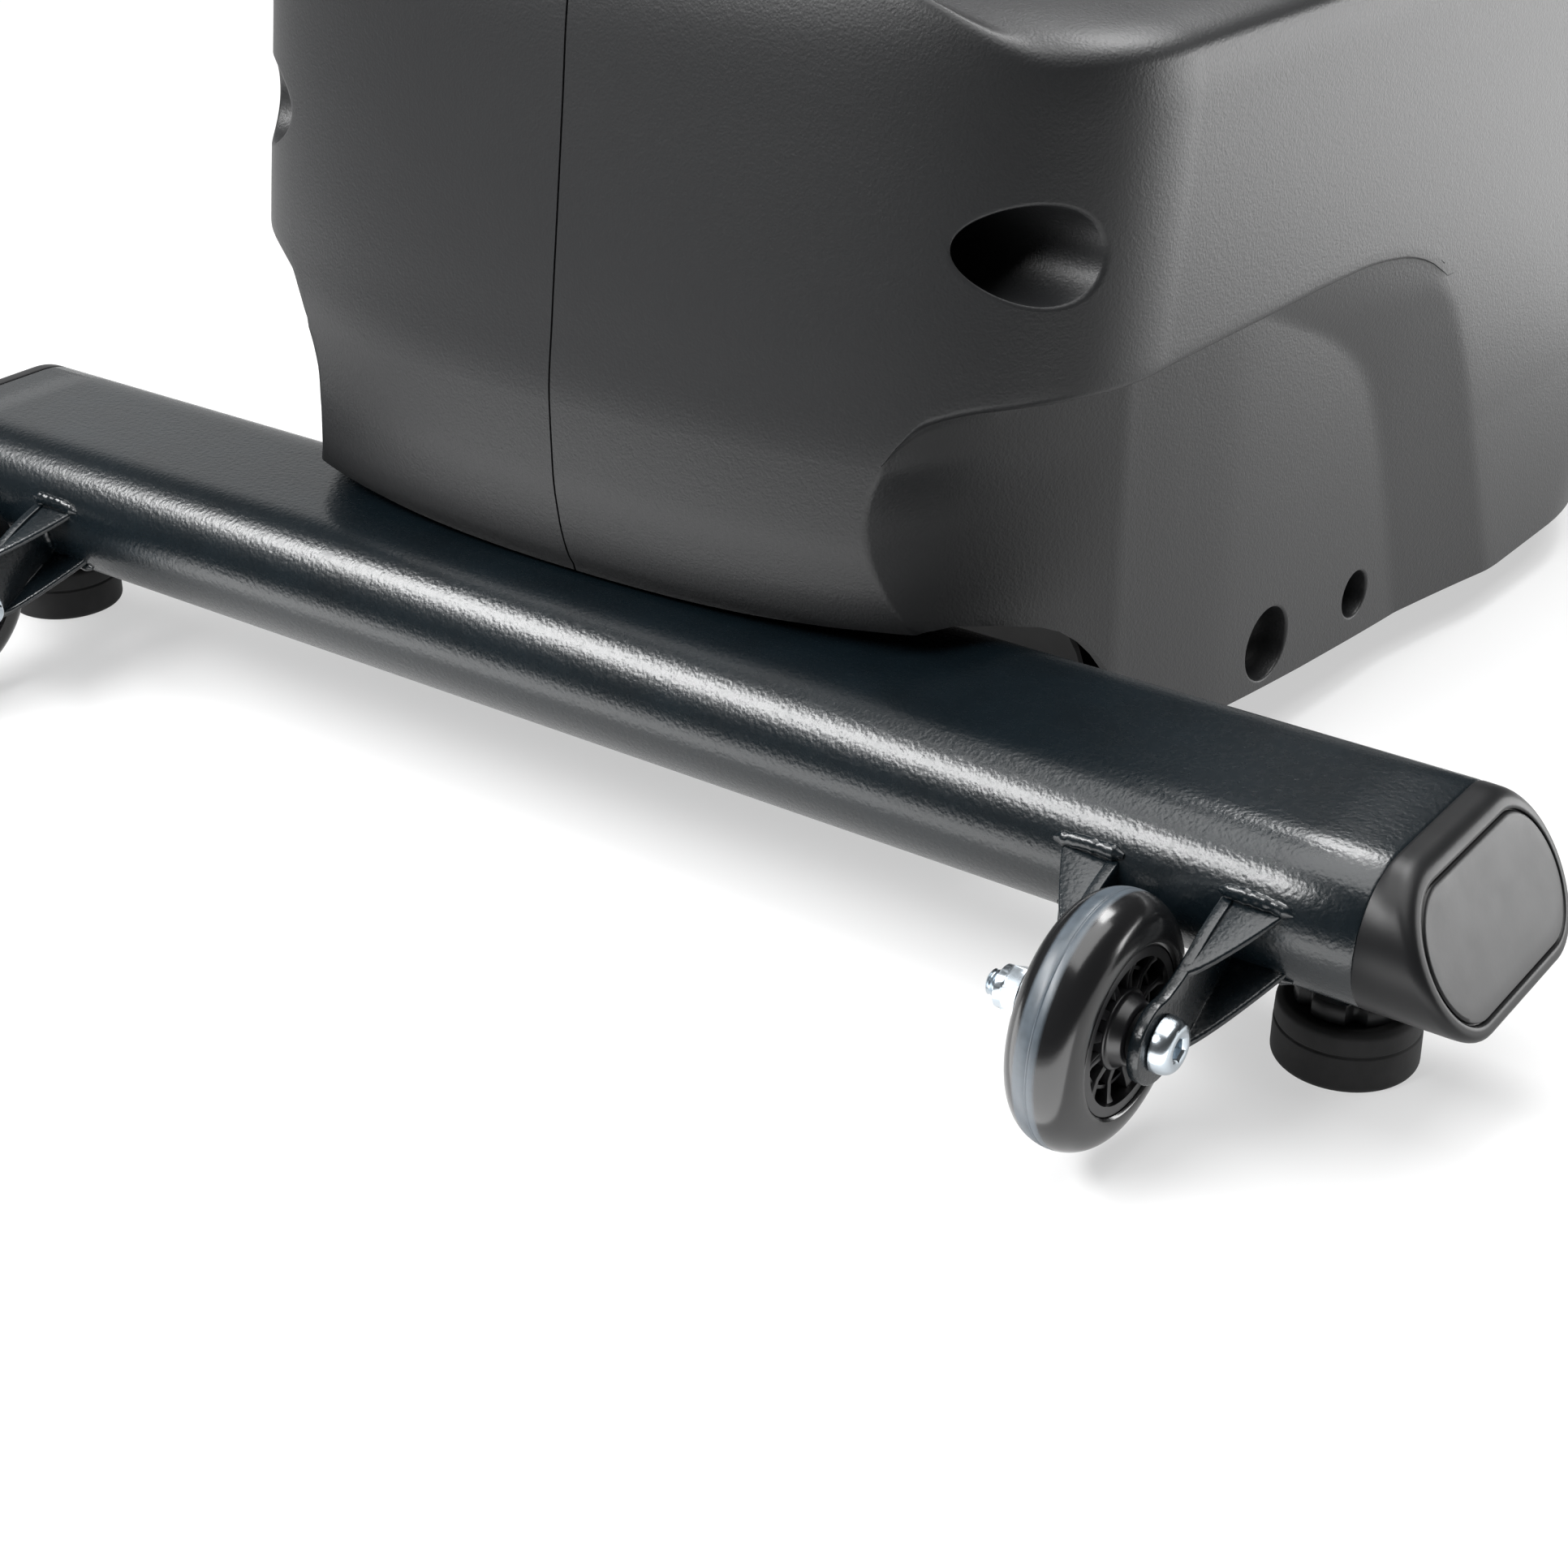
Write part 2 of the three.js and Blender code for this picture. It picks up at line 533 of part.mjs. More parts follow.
function casing() {
  const outer = halfCasing(0, CASING.seam);
  const recess = recessTool();
  const hollow = halfCasing(CASING.wall, 0).subtract(recess.translate([-CASING.wall, 0, 2]));
  const arch = new THREE.Shape();
  arch.absellipse(ARCH.y, ARCH.z, ARCH.rear, ARCH.rise, 0, Math.PI / 2, false);
  arch.absellipse(ARCH.y, ARCH.z, ARCH.front + 30, ARCH.rise, Math.PI / 2, Math.PI * 0.75, false);
  arch.lineTo(-80, 40);
  arch.lineTo(-80, -5);
  arch.lineTo(ARCH.y + ARCH.rear, -5);
  const ground = polygon([[80, -5], [80, 33], [144, 30], [350, 20], [480, 26], [600, 60], [600, -5]]);
  const tools = [
    plateX(arch, -5, 300, 12),
    plateX(ground, -5, 300, 4),
    rodX(POCKET.radius, 100, 230, POCKET.y, POCKET.z, 24),
    rodX(14.5, 120, 230, 172, 46, 24),
    rodX(9.5, 120, 230, 239, 43, 20),
    rodX(15, 20, 120, CRANK.y, CRANK.z, 16),
    box(-5, BEAM.width / 2 + 1, 500, 700, TUBE_TOP - 2, BEAM_TOP + 1),
  ].map(solid);
  const mastHole = solid(mastSweep(MAST.width + 2, MAST.depth + 2));
  const shell = cut(cut(outer, recess), hollow, ...tools, mastHole);
  addPair("casing", geometryOf(biggest(shell)), casingPlastic);
}

// ---------- mast, console and front handlebar ----------
const MAST_LENGTH = Math.hypot(MAST.y1 - MAST.y0, MAST.z1 - MAST.z0);
const MAST_LEAN = Math.atan2(MAST.y1 - MAST.y0, MAST.z1 - MAST.z0);

// A straight bar with an oval section that follows the mast's slanting line.
function mastSweep(width, depth, from = 0, to = MAST_LENGTH) {
  return new THREE.ExtrudeGeometry(roundedRect(width, depth, depth / 2 - 2), {
    depth: to - from, bevelEnabled: false, curveSegments: 3,
  })
    .translate(0, 0, from)
    .rotateX(-MAST_LEAN)
    .translate(0, MAST.y0, MAST.z0);
}

function mast() {
  const outer = solid(mastSweep(MAST.width, MAST.depth));
  const inner = solid(mastSweep(MAST.width - 2 * MAST.wall, MAST.depth - 2 * MAST.wall, -5, MAST_LENGTH + 5));
  const floor = solid(box(-60, 60, -60, 200, 100, BEAM_TOP + GAP));
  const handle = solid(rodX(BAR.radius + GAP, -60, 60, barY(), BAR.z, 20));
  add("console_mast", cut(outer, inner, floor, handle), powderCoat);
  const boot = solid(mastSweep(MAST.width + 34, MAST.depth + 30, 470, 560));
  const hole = solid(mastSweep(MAST.width + 1, MAST.depth + 1, 440, 600));
  const outside = halfCasing(-0.4, 0.15);
  const other = mirrored(geometryOf(outside), -1);
  const middle = solid(box(-2, 2, 60, 480, 400, 692.4));
  add("mast_boot", biggest(cut(boot, hole, outside, other, middle)), casingPlastic);
}

const barY = () => MAST.y0 + (BAR.z - MAST.z0) * Math.tan(MAST_LEAN);

function handlebar() {
  const y = barY();
  const points = [];
  for (const side of [-1, 1]) {
    const half = [
      [side * 40, y, BAR.z],
      [side * 120, y + 2, BAR.z + 2],
      [side * (BAR.half - 18), y + 26, BAR.z + 18],
      [side * BAR.half, y + 70, BAR.z + 46],
      [side * (BAR.half + 2), y + BAR.back, BAR.z + 110],
    ];
    points.push(...(side < 0 ? half.reverse() : half));
  }
  add("front_handlebar", sweep(points, BAR.radius - 2, 26, 8), powderCoat);
  const tip = new THREE.Vector3(BAR.half + 2, y + BAR.back, BAR.z + 110);
  const from = new THREE.Vector3(BAR.half, y + 70, BAR.z + 46);
  const along = tip.clone().sub(from).normalize();
  const grip = new THREE.LatheGeometry(
    [[0, 3], [19, 3], [20, 6], [20, 26], [18, 30], [0, 30]].map(([r, p]) => new THREE.Vector2(r, p)), 14);
  grip.applyQuaternion(new THREE.Quaternion().setFromUnitVectors(new THREE.Vector3(0, 1, 0), along));
  grip.translate(tip.x, tip.y, tip.z);
  addPair("front_grip", grip, gripFoam);
}

// Places a geometry drawn upright (X across, Z up, facing +Y) at the console's tilt.
const onConsole = (geometry) =>
  geometry.rotateX(THREE.MathUtils.degToRad(CONSOLE.tilt)).translate(0, CONSOLE.y, CONSOLE.z);

const face = (width, height, radius, y0, y1) =>
  new THREE.ExtrudeGeometry(roundedRect(width, height, radius), {
    depth: y1 - y0, bevelEnabled: false, curveSegments: 4,
  })
    .rotateX(Math.PI / 2)
    .translate(0, y1, 0);

function consoleSet() {
  const { width, height, thick, screenW, screenH } = CONSOLE;
  const split = 8;
  const screenAt = 30;
  const buttonAt = -70;
  const front = solid(face(width, height, 30, split + GAP, thick / 2));
  const window = solid(face(screenW + 1, screenH + 1, 8, thick / 2 - 7, thick).translate(0, 0, screenAt));
  const buttons = [-70, 0, 70];
  const wells = buttons.map((x) =>
    solid(new THREE.CylinderGeometry(13.6, 13.6, 10, 12).translate(x, thick / 2, buttonAt)));
  add("console_front", onConsole(geometryOf(cut(front, window, ...wells))), casingPlastic);
  const rearBody = solid(face(width - 8, height - 8, 28, -thick / 2, split));
  const neck = solid(face(118, 92, 20, -thick / 2 - 22, -thick / 2 + 4).translate(0, 0, -44));
  const mastSpace = solid(mastSweep(MAST.width + 1.2, MAST.depth + 1.2, 0, MAST_LENGTH + 0.5));
  const back = solid(onConsole(geometryOf(join(rearBody, neck))));
  add("console_back", biggest(cut(back, mastSpace)), casingPlastic);
  const pane = face(screenW, screenH, 8, thick / 2 - 6.5, thick / 2 - 2).translate(0, 0, screenAt);
  add("console_screen", onConsole(pane), screenGlass);
  ["up", "start", "down"].forEach((word, i) => {
    const cap = new THREE.LatheGeometry(
      [[0, 0], [13, 0], [13, 4.2], [11.5, 5.5], [0, 5.8]].map(([r, p]) => new THREE.Vector2(r, p)), 12);
    cap.translate(buttons[i], thick / 2 - 3, buttonAt);
    add(`console_button_${word}`, onConsole(cap), capPlastic);
  });
}

// ---------- rail, carriage and seat ----------
const RAIL_LEAN = THREE.MathUtils.degToRad(RAIL.slope);
const railZ = (y) => RAIL.z0 + (y - RAIL.y0) * Math.tan(RAIL_LEAN);

// Places a geometry drawn level along Y, about the rail's front end, on the rail's slope.
const onRail = (geometry) => geometry.rotateX(RAIL_LEAN).translate(0, RAIL.y0, RAIL.z0);
const RAIL_LENGTH = (RAIL.y1 - RAIL.y0) / Math.cos(RAIL_LEAN);

function railSection(grow = 0) {
  const w = RAIL.width / 2 + grow;
  const h = RAIL.height / 2 + grow;
  return polygon([
    [-w, -h], [w, -h], [w, -6 - grow], [w - 10, -6 - grow], [w - 10, 6 + grow], [w, 6 + grow],
    [w, h], [-w, h], [-w, 6 + grow], [-w + 10, 6 + grow], [-w + 10, -6 - grow], [-w, -6 - grow],
  ]);
}

const alongRail = (shape, from, to) =>
  onRail(new THREE.ExtrudeGeometry(shape, { depth: to - from, bevelEnabled: false })
    .rotateX(Math.PI / 2).translate(0, to, 0));

function seatRail() {
  add("seat_rail", alongRail(railSection(), 0, RAIL_LENGTH), alloy);
  const posts = [
    [RAIL.y0 + 30, RAIL.y0 + 110],
    [REAR_Y - 110, REAR_Y - 30],
  ];
  const deep = -RAIL.height / 2 - GAP;
  const aboveRail = polygon([[-90, deep], [90, deep], [90, 260], [-90, 260]]);
  const above = solid(alongRail(aboveRail, -100, RAIL_LENGTH + 100));
  const columns = posts.map(([y0, y1]) => solid(box(-27, 27, y0, y1, BEAM_TOP + GAP, railZ(y1) + 30)));
  const strap = solid(box(-29, 29, posts[0][0] - 20, posts[1][1] + 20, BEAM_TOP + GAP, BEAM_TOP + 8));
  add("rail_support", cut(join(strap, ...columns), above), powderCoat);
}

const CARRIAGE_S = (CARRIAGE.y - RAIL.y0) / Math.cos(RAIL_LEAN);

function carriage() {
  const { length, wall, rise } = CARRIAGE;
  const w = RAIL.width / 2 + 1 + wall;
  const top = RAIL.height / 2 + 1 + wall;
  const block = solid(alongRail(polygon([[-w, -14], [w, -14], [w, top], [-w, top]]),
    CARRIAGE_S - length / 2, CARRIAGE_S + length / 2));
  const slot = solid(alongRail(polygon([
    [-w + wall, -16], [w - wall, -16], [w - wall, top - wall], [-w + wall, top - wall],
  ]), CARRIAGE_S - length, CARRIAGE_S + length));
  const groove = RAIL.width / 2 - 8;
  const rollers = [-1, 1].map((side) => {
    const [near, far] = [side * groove, side * (w - 2)];
    const section = polygon([[far, -4.5], [near, -4.5], [near, 4.5], [far, 4.5]]);
    return solid(alongRail(section, CARRIAGE_S - 60, CARRIAGE_S + 60));
  });
  const z = railZ(CARRIAGE.y);
  const tower = solid(box(-42, 42, CARRIAGE.y - 70, CARRIAGE.y + 60, z + 22, z + 20 + rise));
  const below = polygon([[-90, -60], [90, -60], [90, top - wall], [-90, top - wall]]);
  const clear = solid(alongRail(below, 0, RAIL_LENGTH));
  add("seat_carriage", join(cut(block, slot), ...rollers, cut(tower, clear)), powderCoat);
}

function seatLever() {
  const z = railZ(CARRIAGE.y) + 31;
  const y = CARRIAGE.y - 40;
  const pivot = solid(rodX(9, 48, 66, y, z, 16));
  const route = [[57, y, z], [110, y - 40, z + 4], [190, y - 70, z + 8], [238, y - 74, z + 8]];
  const handle = solid(sweep(route, 7, 10, 8));
  const knob = solid(rodX(11, 205, 250, y - 74, z + 8, 20));
  add("seat_lever", join(pivot, handle, knob), hubPlastic);
}

const BACK_LEAN = THREE.MathUtils.degToRad(BACK.recline);
const onBack = (geometry) => geometry.rotateX(-BACK_LEAN).translate(0, BACK.y, BACK.z);

function seatFrame() {
  const base = railZ(CARRIAGE.y) + 20 + CARRIAGE.rise + GAP;
  const r = FRAME_TUBE;
  const plate = solid(box(-120, 120, SEAT.y - 150, SEAT.y + 175, base, base + 8));
  const uprights = [-1, 1].map((side) =>
    solid(sweep([
      [side * 90, SEAT.y - 60, base + r], [side * 95, SEAT.y + 120, base + r],
      [side * 100, SEAT.y + 212, base + r + 12],
      [side * 105, SEAT.y + 240, base + 110], [side * 105, BACK.y + 97, BACK.z + 100],
    ], r, 14, 8)));
  const handle = solid(sweep([
    [-302, SEAT.y - 96, base + 128], [-302, SEAT.y + 20, base + 112], [-298, SEAT.y + 120, base + 60],
    [-250, SEAT.y + 160, base + 18], [-120, SEAT.y + 150, base + r - 2], [120, SEAT.y + 150, base + r - 2],
    [250, SEAT.y + 160, base + 18], [298, SEAT.y + 120, base + 60], [302, SEAT.y + 20, base + 112],
    [302, SEAT.y - 96, base + 128],
  ], r - 1, 30, 8));
  add("seat_frame", join(plate, ...uprights, handle), powderCoat);
  const grip = new THREE.LatheGeometry(
    [[r, 0], [18.5, 0], [19, 4], [19, 104], [17, 112], [0, 116], [0, 112.5], [r, 112.5], [r, 0]]
      .map(([a, b]) => new THREE.Vector2(a, b)), 12);
  const from = new THREE.Vector3(302, SEAT.y + 12, base + 113.2);
  const to = new THREE.Vector3(302, SEAT.y - 96, base + 128);
  const along = to.clone().sub(from).normalize();
  grip.applyQuaternion(new THREE.Quaternion().setFromUnitVectors(new THREE.Vector3(0, 1, 0), along));
  grip.translate(from.x, from.y, from.z);
  addPair("side_grip", cut(solid(grip), handle, mirrored(geometryOf(handle), -1)), gripFoam);
}

function seat() {
  const { y, z, width, length, thick } = SEAT;
  const tilt = -THREE.MathUtils.degToRad(4);
  const padding = (shape, depth) =>
    new THREE.ExtrudeGeometry(shape, {
      depth: depth - 2 * SOFT_EDGE, bevelEnabled: true, bevelThickness: SOFT_EDGE, bevelSize: SOFT_EDGE,
      bevelOffset: -SOFT_EDGE, bevelSegments: 2, curveSegments: 4,
    });
  const pad = padding(roundedRect(width, length, 60), thick)
    .translate(0, 0, -thick / 2 + SOFT_EDGE)
    .rotateX(tilt)
    .translate(0, y, z);
  add("seat_cushion", pad, seatVinyl);
  const back = padding(roundedRect(BACK.width, BACK.height, 70), BACK.thick)
    .rotateX(Math.PI / 2)
    .translate(0, BACK.thick / 2 - SOFT_EDGE, 0);
  add("back_cushion", onBack(back), seatVinyl);
}

stabilizer("front_stabilizer", 0, TUBE.frontHalf, FOOT.x, FOOT.y);
endCap("front_end_cap", 0, TUBE.frontHalf);
levellingFeet("levelling_foot_front", FOOT.x, FOOT.y);
wheels();
stabilizer("rear_stabilizer", REAR_Y, TUBE.rearHalf, FOOT.rearX, 0);
endCap("rear_end_cap", REAR_Y, TUBE.rearHalf);
levellingFeet("levelling_foot_rear", FOOT.rearX, REAR_Y);
mainBeam();
crankSupport();
crankSet();
pedals();
driveBelt();
flywheelSet();
brake();
casing();
mast();
handlebar();
consoleSet();
seatRail();
carriage();
seatLever();
seatFrame();
seat();

export default bike;
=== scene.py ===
# Looks of the recumbent exercise bike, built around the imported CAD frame. Runs inside Blender 4.5.
# Lengths are in metres. Points given to at() are in millimetres, measured from the front stabilizer's
# axis: x to the rider's left, y towards the rear, z up from the floor.
import json
import math

import bmesh
import bpy
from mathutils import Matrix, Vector, noise
from mathutils.bvhtree import BVHTree

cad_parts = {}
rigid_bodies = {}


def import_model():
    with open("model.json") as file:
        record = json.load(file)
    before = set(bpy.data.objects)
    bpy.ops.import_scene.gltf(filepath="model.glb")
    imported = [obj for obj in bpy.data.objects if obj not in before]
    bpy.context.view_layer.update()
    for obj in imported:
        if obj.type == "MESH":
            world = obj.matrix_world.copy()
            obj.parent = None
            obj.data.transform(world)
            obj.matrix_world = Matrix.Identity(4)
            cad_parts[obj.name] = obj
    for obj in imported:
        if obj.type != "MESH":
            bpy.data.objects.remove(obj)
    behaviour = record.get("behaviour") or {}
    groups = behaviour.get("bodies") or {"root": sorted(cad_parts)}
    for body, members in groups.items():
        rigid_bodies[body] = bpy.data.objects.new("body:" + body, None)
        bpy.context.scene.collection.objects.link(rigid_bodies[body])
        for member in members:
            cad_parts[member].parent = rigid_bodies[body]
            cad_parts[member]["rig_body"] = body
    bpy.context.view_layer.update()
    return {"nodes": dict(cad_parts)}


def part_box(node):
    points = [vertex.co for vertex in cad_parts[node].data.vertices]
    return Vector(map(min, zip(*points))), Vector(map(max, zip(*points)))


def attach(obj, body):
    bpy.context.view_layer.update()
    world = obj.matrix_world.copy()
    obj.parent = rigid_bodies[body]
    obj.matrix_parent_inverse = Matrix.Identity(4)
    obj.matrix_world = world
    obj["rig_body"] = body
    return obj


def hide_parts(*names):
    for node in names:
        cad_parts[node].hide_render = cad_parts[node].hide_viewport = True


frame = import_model()
MM = 0.001
SIDES = (("left", 1), ("right", -1))


def centre(node):
    low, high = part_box(node)
    return (low + high) / 2


TUBE_AXIS_Y = centre("front_stabilizer").y


def at(x, y, z):
    return Vector((x * MM, y * MM + TUBE_AXIS_Y, z * MM))


def local(point):
    """A point of the frame in at()'s millimetres."""
    return Vector((point.x, point.y - TUBE_AXIS_Y, point.z)) / MM


# ---------- driving sizes, read from the frame or in millimetres ----------
TUBE_HALF_Y = 50.0
TUBE_RADIUS = 25.0
TUBE_Z = local(centre("front_stabilizer")).z
FRONT_HALF = local(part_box("front_stabilizer")[1]).x
REAR_HALF = local(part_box("rear_stabilizer")[1]).x
REAR_Y = local(centre("rear_stabilizer")).y
WHEEL = local(centre("wheel_tyre_left"))
WHEEL_RADIUS = (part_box("wheel_tyre_left")[1].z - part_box("wheel_tyre_left")[0].z) / 2 / MM
FOOT = local(centre("levelling_foot_front_left"))
REAR_FOOT = local(centre("levelling_foot_rear_left"))
MERGE = 0.00002
CAP_TOP, CAP_SLOPE = 9.0, 0.56


# ---------- materials ----------
class Nodes:
    """A material's node tree with short calls to add and link nodes."""

    def __init__(self, name):
        self.material = bpy.data.materials.new(name)
        self.material.use_nodes = True
        self.tree = self.material.node_tree
        self.shader = self.tree.nodes["Principled BSDF"]
        self.place = self.add("ShaderNodeTexCoord").outputs["Object"]

    def add(self, kind, **settings):
        node = self.tree.nodes.new(kind)
        for key, value in settings.items():
            if key in node.inputs:
                node.inputs[key].default_value = value
            else:
                setattr(node, key, value)
        return node

    def link(self, source, target):
        self.tree.links.new(source, target)

    def scaled(self, x, y, z):
        mapping = self.add("ShaderNodeMapping")
        mapping.inputs["Scale"].default_value = (x, y, z)
        self.link(self.place, mapping.inputs["Vector"])
        return mapping.outputs["Vector"]

    def noise(self, scale, detail=3.0, rough=0.55, vector=None):
        node = self.add("ShaderNodeTexNoise", Scale=scale, Detail=detail, Roughness=rough)
        self.link(vector or self.place, node.inputs["Vector"])
        return node.outputs["Fac"]

    def cells(self, scale, feature="F1", vector=None):
        node = self.add("ShaderNodeTexVoronoi", Scale=scale)
        node.feature = feature
        self.link(vector or self.place, node.inputs["Vector"])
        return node.outputs["Distance"]

    def spread(self, value, low, high, start=0.0, end=1.0):
        """value, stretched from start..end to low..high."""
        node = self.add("ShaderNodeMapRange")
        node.inputs["From Min"].default_value = start
        node.inputs["From Max"].default_value = end
        node.inputs["To Min"].default_value = low
        node.inputs["To Max"].default_value = high
        self.link(value, node.inputs["Value"])
        return node.outputs["Result"]

    def colours(self, value, first, second, start=0.3, end=0.7):
        ramp = self.add("ShaderNodeValToRGB").color_ramp
        ramp.elements[0].position, ramp.elements[0].color = start, (*first, 1)
        ramp.elements[1].position, ramp.elements[1].color = end, (*second, 1)
        node = self.tree.nodes[-1]
        self.link(value, node.inputs["Fac"])
        return node.outputs["Color"]

    def bump(self, height, distance, strength=1.0, under=None):
        node = self.add("ShaderNodeBump", Distance=distance, Strength=strength)
        self.link(height, node.inputs["Height"])
        if under is not None:
            self.link(under, node.inputs["Normal"])
        return node.outputs["Normal"]

    def finish(self, colour=None, rough=None, normal=None, **fixed):
        for source, name in ((colour, "Base Color"), (rough, "Roughness"), (normal, "Normal")):
            if source is not None:
                self.link(source, self.shader.inputs[name])
        for name, value in fixed.items():
            self.shader.inputs[name.replace("_", " ")].default_value = value
        return self.material


def mixed(colour, share):
    """The colour with its brightness times share."""
    return tuple(c * share for c in colour)


def powder_coat():
    n = Nodes("powder_coat")
    base = (0.0021, 0.0044, 0.0061)
    relief = n.bump(n.noise(640, 1.5, 0.5), 0.00022, 0.6)
    colour = n.colours(n.noise(40, 4.0), mixed(base, 0.85), mixed(base, 1.2))
    rough = n.spread(n.noise(300, 2.0), 0.24, 0.30)
    return n.finish(colour, rough, relief, Metallic=0.0, Specular_IOR_Level=0.5)


def grained_plastic(name, base, grain, depth, rough, shine=0.5):
    """Moulded plastic with a fine leather-like grain of that size in cells per metre."""
    n = Nodes(name)
    warp = n.noise(grain * 0.5, 2.0)
    cells = n.cells(grain, "SMOOTH_F1")
    relief = n.bump(cells, depth, 0.55, n.bump(warp, depth * 1.5, 0.45))
    colour = n.colours(n.noise(9, 5.0), mixed(base, 0.93), mixed(base, 1.08))
    return n.finish(colour, n.spread(n.noise(grain, 2.0), rough - 0.05, rough + 0.05), relief,
                    Specular_IOR_Level=shine)


def smooth_plastic(name, base, rough, shine=0.5):
    n = Nodes(name)
    relief = n.bump(n.noise(420, 3.0), 0.00004, 0.6)
    colour = n.colours(n.noise(30, 4.0), mixed(base, 0.9), mixed(base, 1.12))
    return n.finish(colour, n.spread(n.noise(90, 4.0), rough - 0.04, rough + 0.05), relief,
                    Specular_IOR_Level=shine)


def cast_polyurethane():
    """Glossy wheel tyre with a duller, lighter blue-grey band round the middle of its tread."""
    n = Nodes("cast_polyurethane")
    split = n.add("ShaderNodeSeparateXYZ")
    n.link(n.place, split.inputs["Vector"])
    side = n.add("ShaderNodeMath", operation="ABSOLUTE")
    n.link(split.outputs["X"], side.inputs[0])
    band_at = WHEEL.x - 1.2
    off = n.add("ShaderNodeMath", operation="SUBTRACT")
    off.inputs[1].default_value = band_at * MM
    n.link(side.outputs[0], off.inputs[0])
    away = n.add("ShaderNodeMath", operation="ABSOLUTE")
    n.link(off.outputs[0], away.inputs[0])
    band = n.spread(away.outputs[0], 1.0, 0.0, 0.0030, 0.0042)
    # The band round the tread's middle, lighter and duller than the rest, mottled by noise.
    mottled_band = n.add("ShaderNodeMath", operation="MULTIPLY")
    n.link(band, mottled_band.inputs[0])
    n.link(n.spread(n.noise(260, 5.0), 0.75, 1.0, 0.3, 0.6), mottled_band.inputs[1])
    colour = n.add("ShaderNodeMix", data_type="RGBA")
    colour.inputs["A"].default_value = (0.0065, 0.0066, 0.007, 1)
    colour.inputs["B"].default_value = (0.050, 0.063, 0.076, 1)
    n.link(mottled_band.outputs[0], colour.inputs["Factor"])
    rough = n.spread(mottled_band.outputs[0], 0.18, 0.42)
    relief = n.bump(n.noise(500, 3.0), 0.00003, 0.5)
    return n.finish(colour.outputs["Result"], rough, relief)


def metal(name, base, rough, streak=(1, 1, 1), scale=300):
    n = Nodes(name)
    lines = n.noise(scale, 4.0, 0.6, n.scaled(*streak))
    colour = n.colours(n.noise(60, 4.0), mixed(base, 0.86), base)
    relief = n.bump(lines, 0.00003, 0.5)
    return n.finish(colour, n.spread(lines, rough - 0.07, rough + 0.09), relief, Metallic=1.0)


def rubber(name, base, rough=0.78):
    n = Nodes(name)
    dust = n.colours(n.noise(75, 6.0, 0.65), base, mixed(base, 1.9), 0.45, 0.8)
    relief = n.bump(n.noise(900, 3.0), 0.0001, 0.5)
    return n.finish(dust, n.spread(n.noise(120, 3.0), rough - 0.08, rough + 0.08), relief)


def foam():
    n = Nodes("grip_foam")
    relief = n.bump(n.cells(1400), 0.00025, 0.6, n.bump(n.noise(300, 4.0), 0.0003, 0.4))
    colour = n.colours(n.noise(200, 4.0), (0.010, 0.010, 0.011), (0.019, 0.019, 0.020))
    return n.finish(colour, n.spread(n.noise(150, 2.0), 0.82, 0.95), relief, Sheen_Weight=0.15)


def vinyl(name, base, rough=0.46):
    """Upholstery vinyl: pebbled leather grain with finer wrinkles over it."""
    n = Nodes(name)
    pebbles = n.cells(520, "SMOOTH_F1")
    creases = n.cells(260, "DISTANCE_TO_EDGE")
    relief = n.bump(pebbles, 0.0003, 0.5, n.bump(n.spread(creases, 0, 1, 0, 0.25), 0.00025, 0.5))
    colour = n.colours(n.noise(22, 5.0), mixed(base, 0.85), mixed(base, 1.18))
    return n.finish(colour, n.spread(n.noise(60, 4.0), rough - 0.06, rough + 0.08), relief, Sheen_Weight=0.08)


def thread():
    n = Nodes("seam_thread")
    twist = n.add("ShaderNodeTexWave", Scale=900.0, Distortion=1.0)
    n.link(n.place, twist.inputs["Vector"])
    relief = n.bump(twist.outputs["Fac"], 0.0003, 0.6)
    colour = n.colours(twist.outputs["Fac"], (0.055, 0.055, 0.058), (0.11, 0.11, 0.115))
    return n.finish(colour, n.spread(n.noise(400, 2.0), 0.7, 0.85), relief)


def display_glass():
    n = Nodes("display_glass")
    colour = n.colours(n.noise(6, 2.0), (0.004, 0.005, 0.007), (0.008, 0.010, 0.013))
    return n.finish(colour, n.spread(n.noise(15, 4.0), 0.05, 0.09), None, Coat_Weight=0.6)


def display_segment():
    n = Nodes("display_segment")
    colour = n.colours(n.noise(800, 2.0), (0.16, 0.24, 0.26), (0.22, 0.32, 0.34))
    return n.finish(colour, n.spread(n.noise(90, 2.0), 0.3, 0.4), None, Emission_Strength=0.35,
                    Emission_Color=(0.35, 0.62, 0.68, 1))


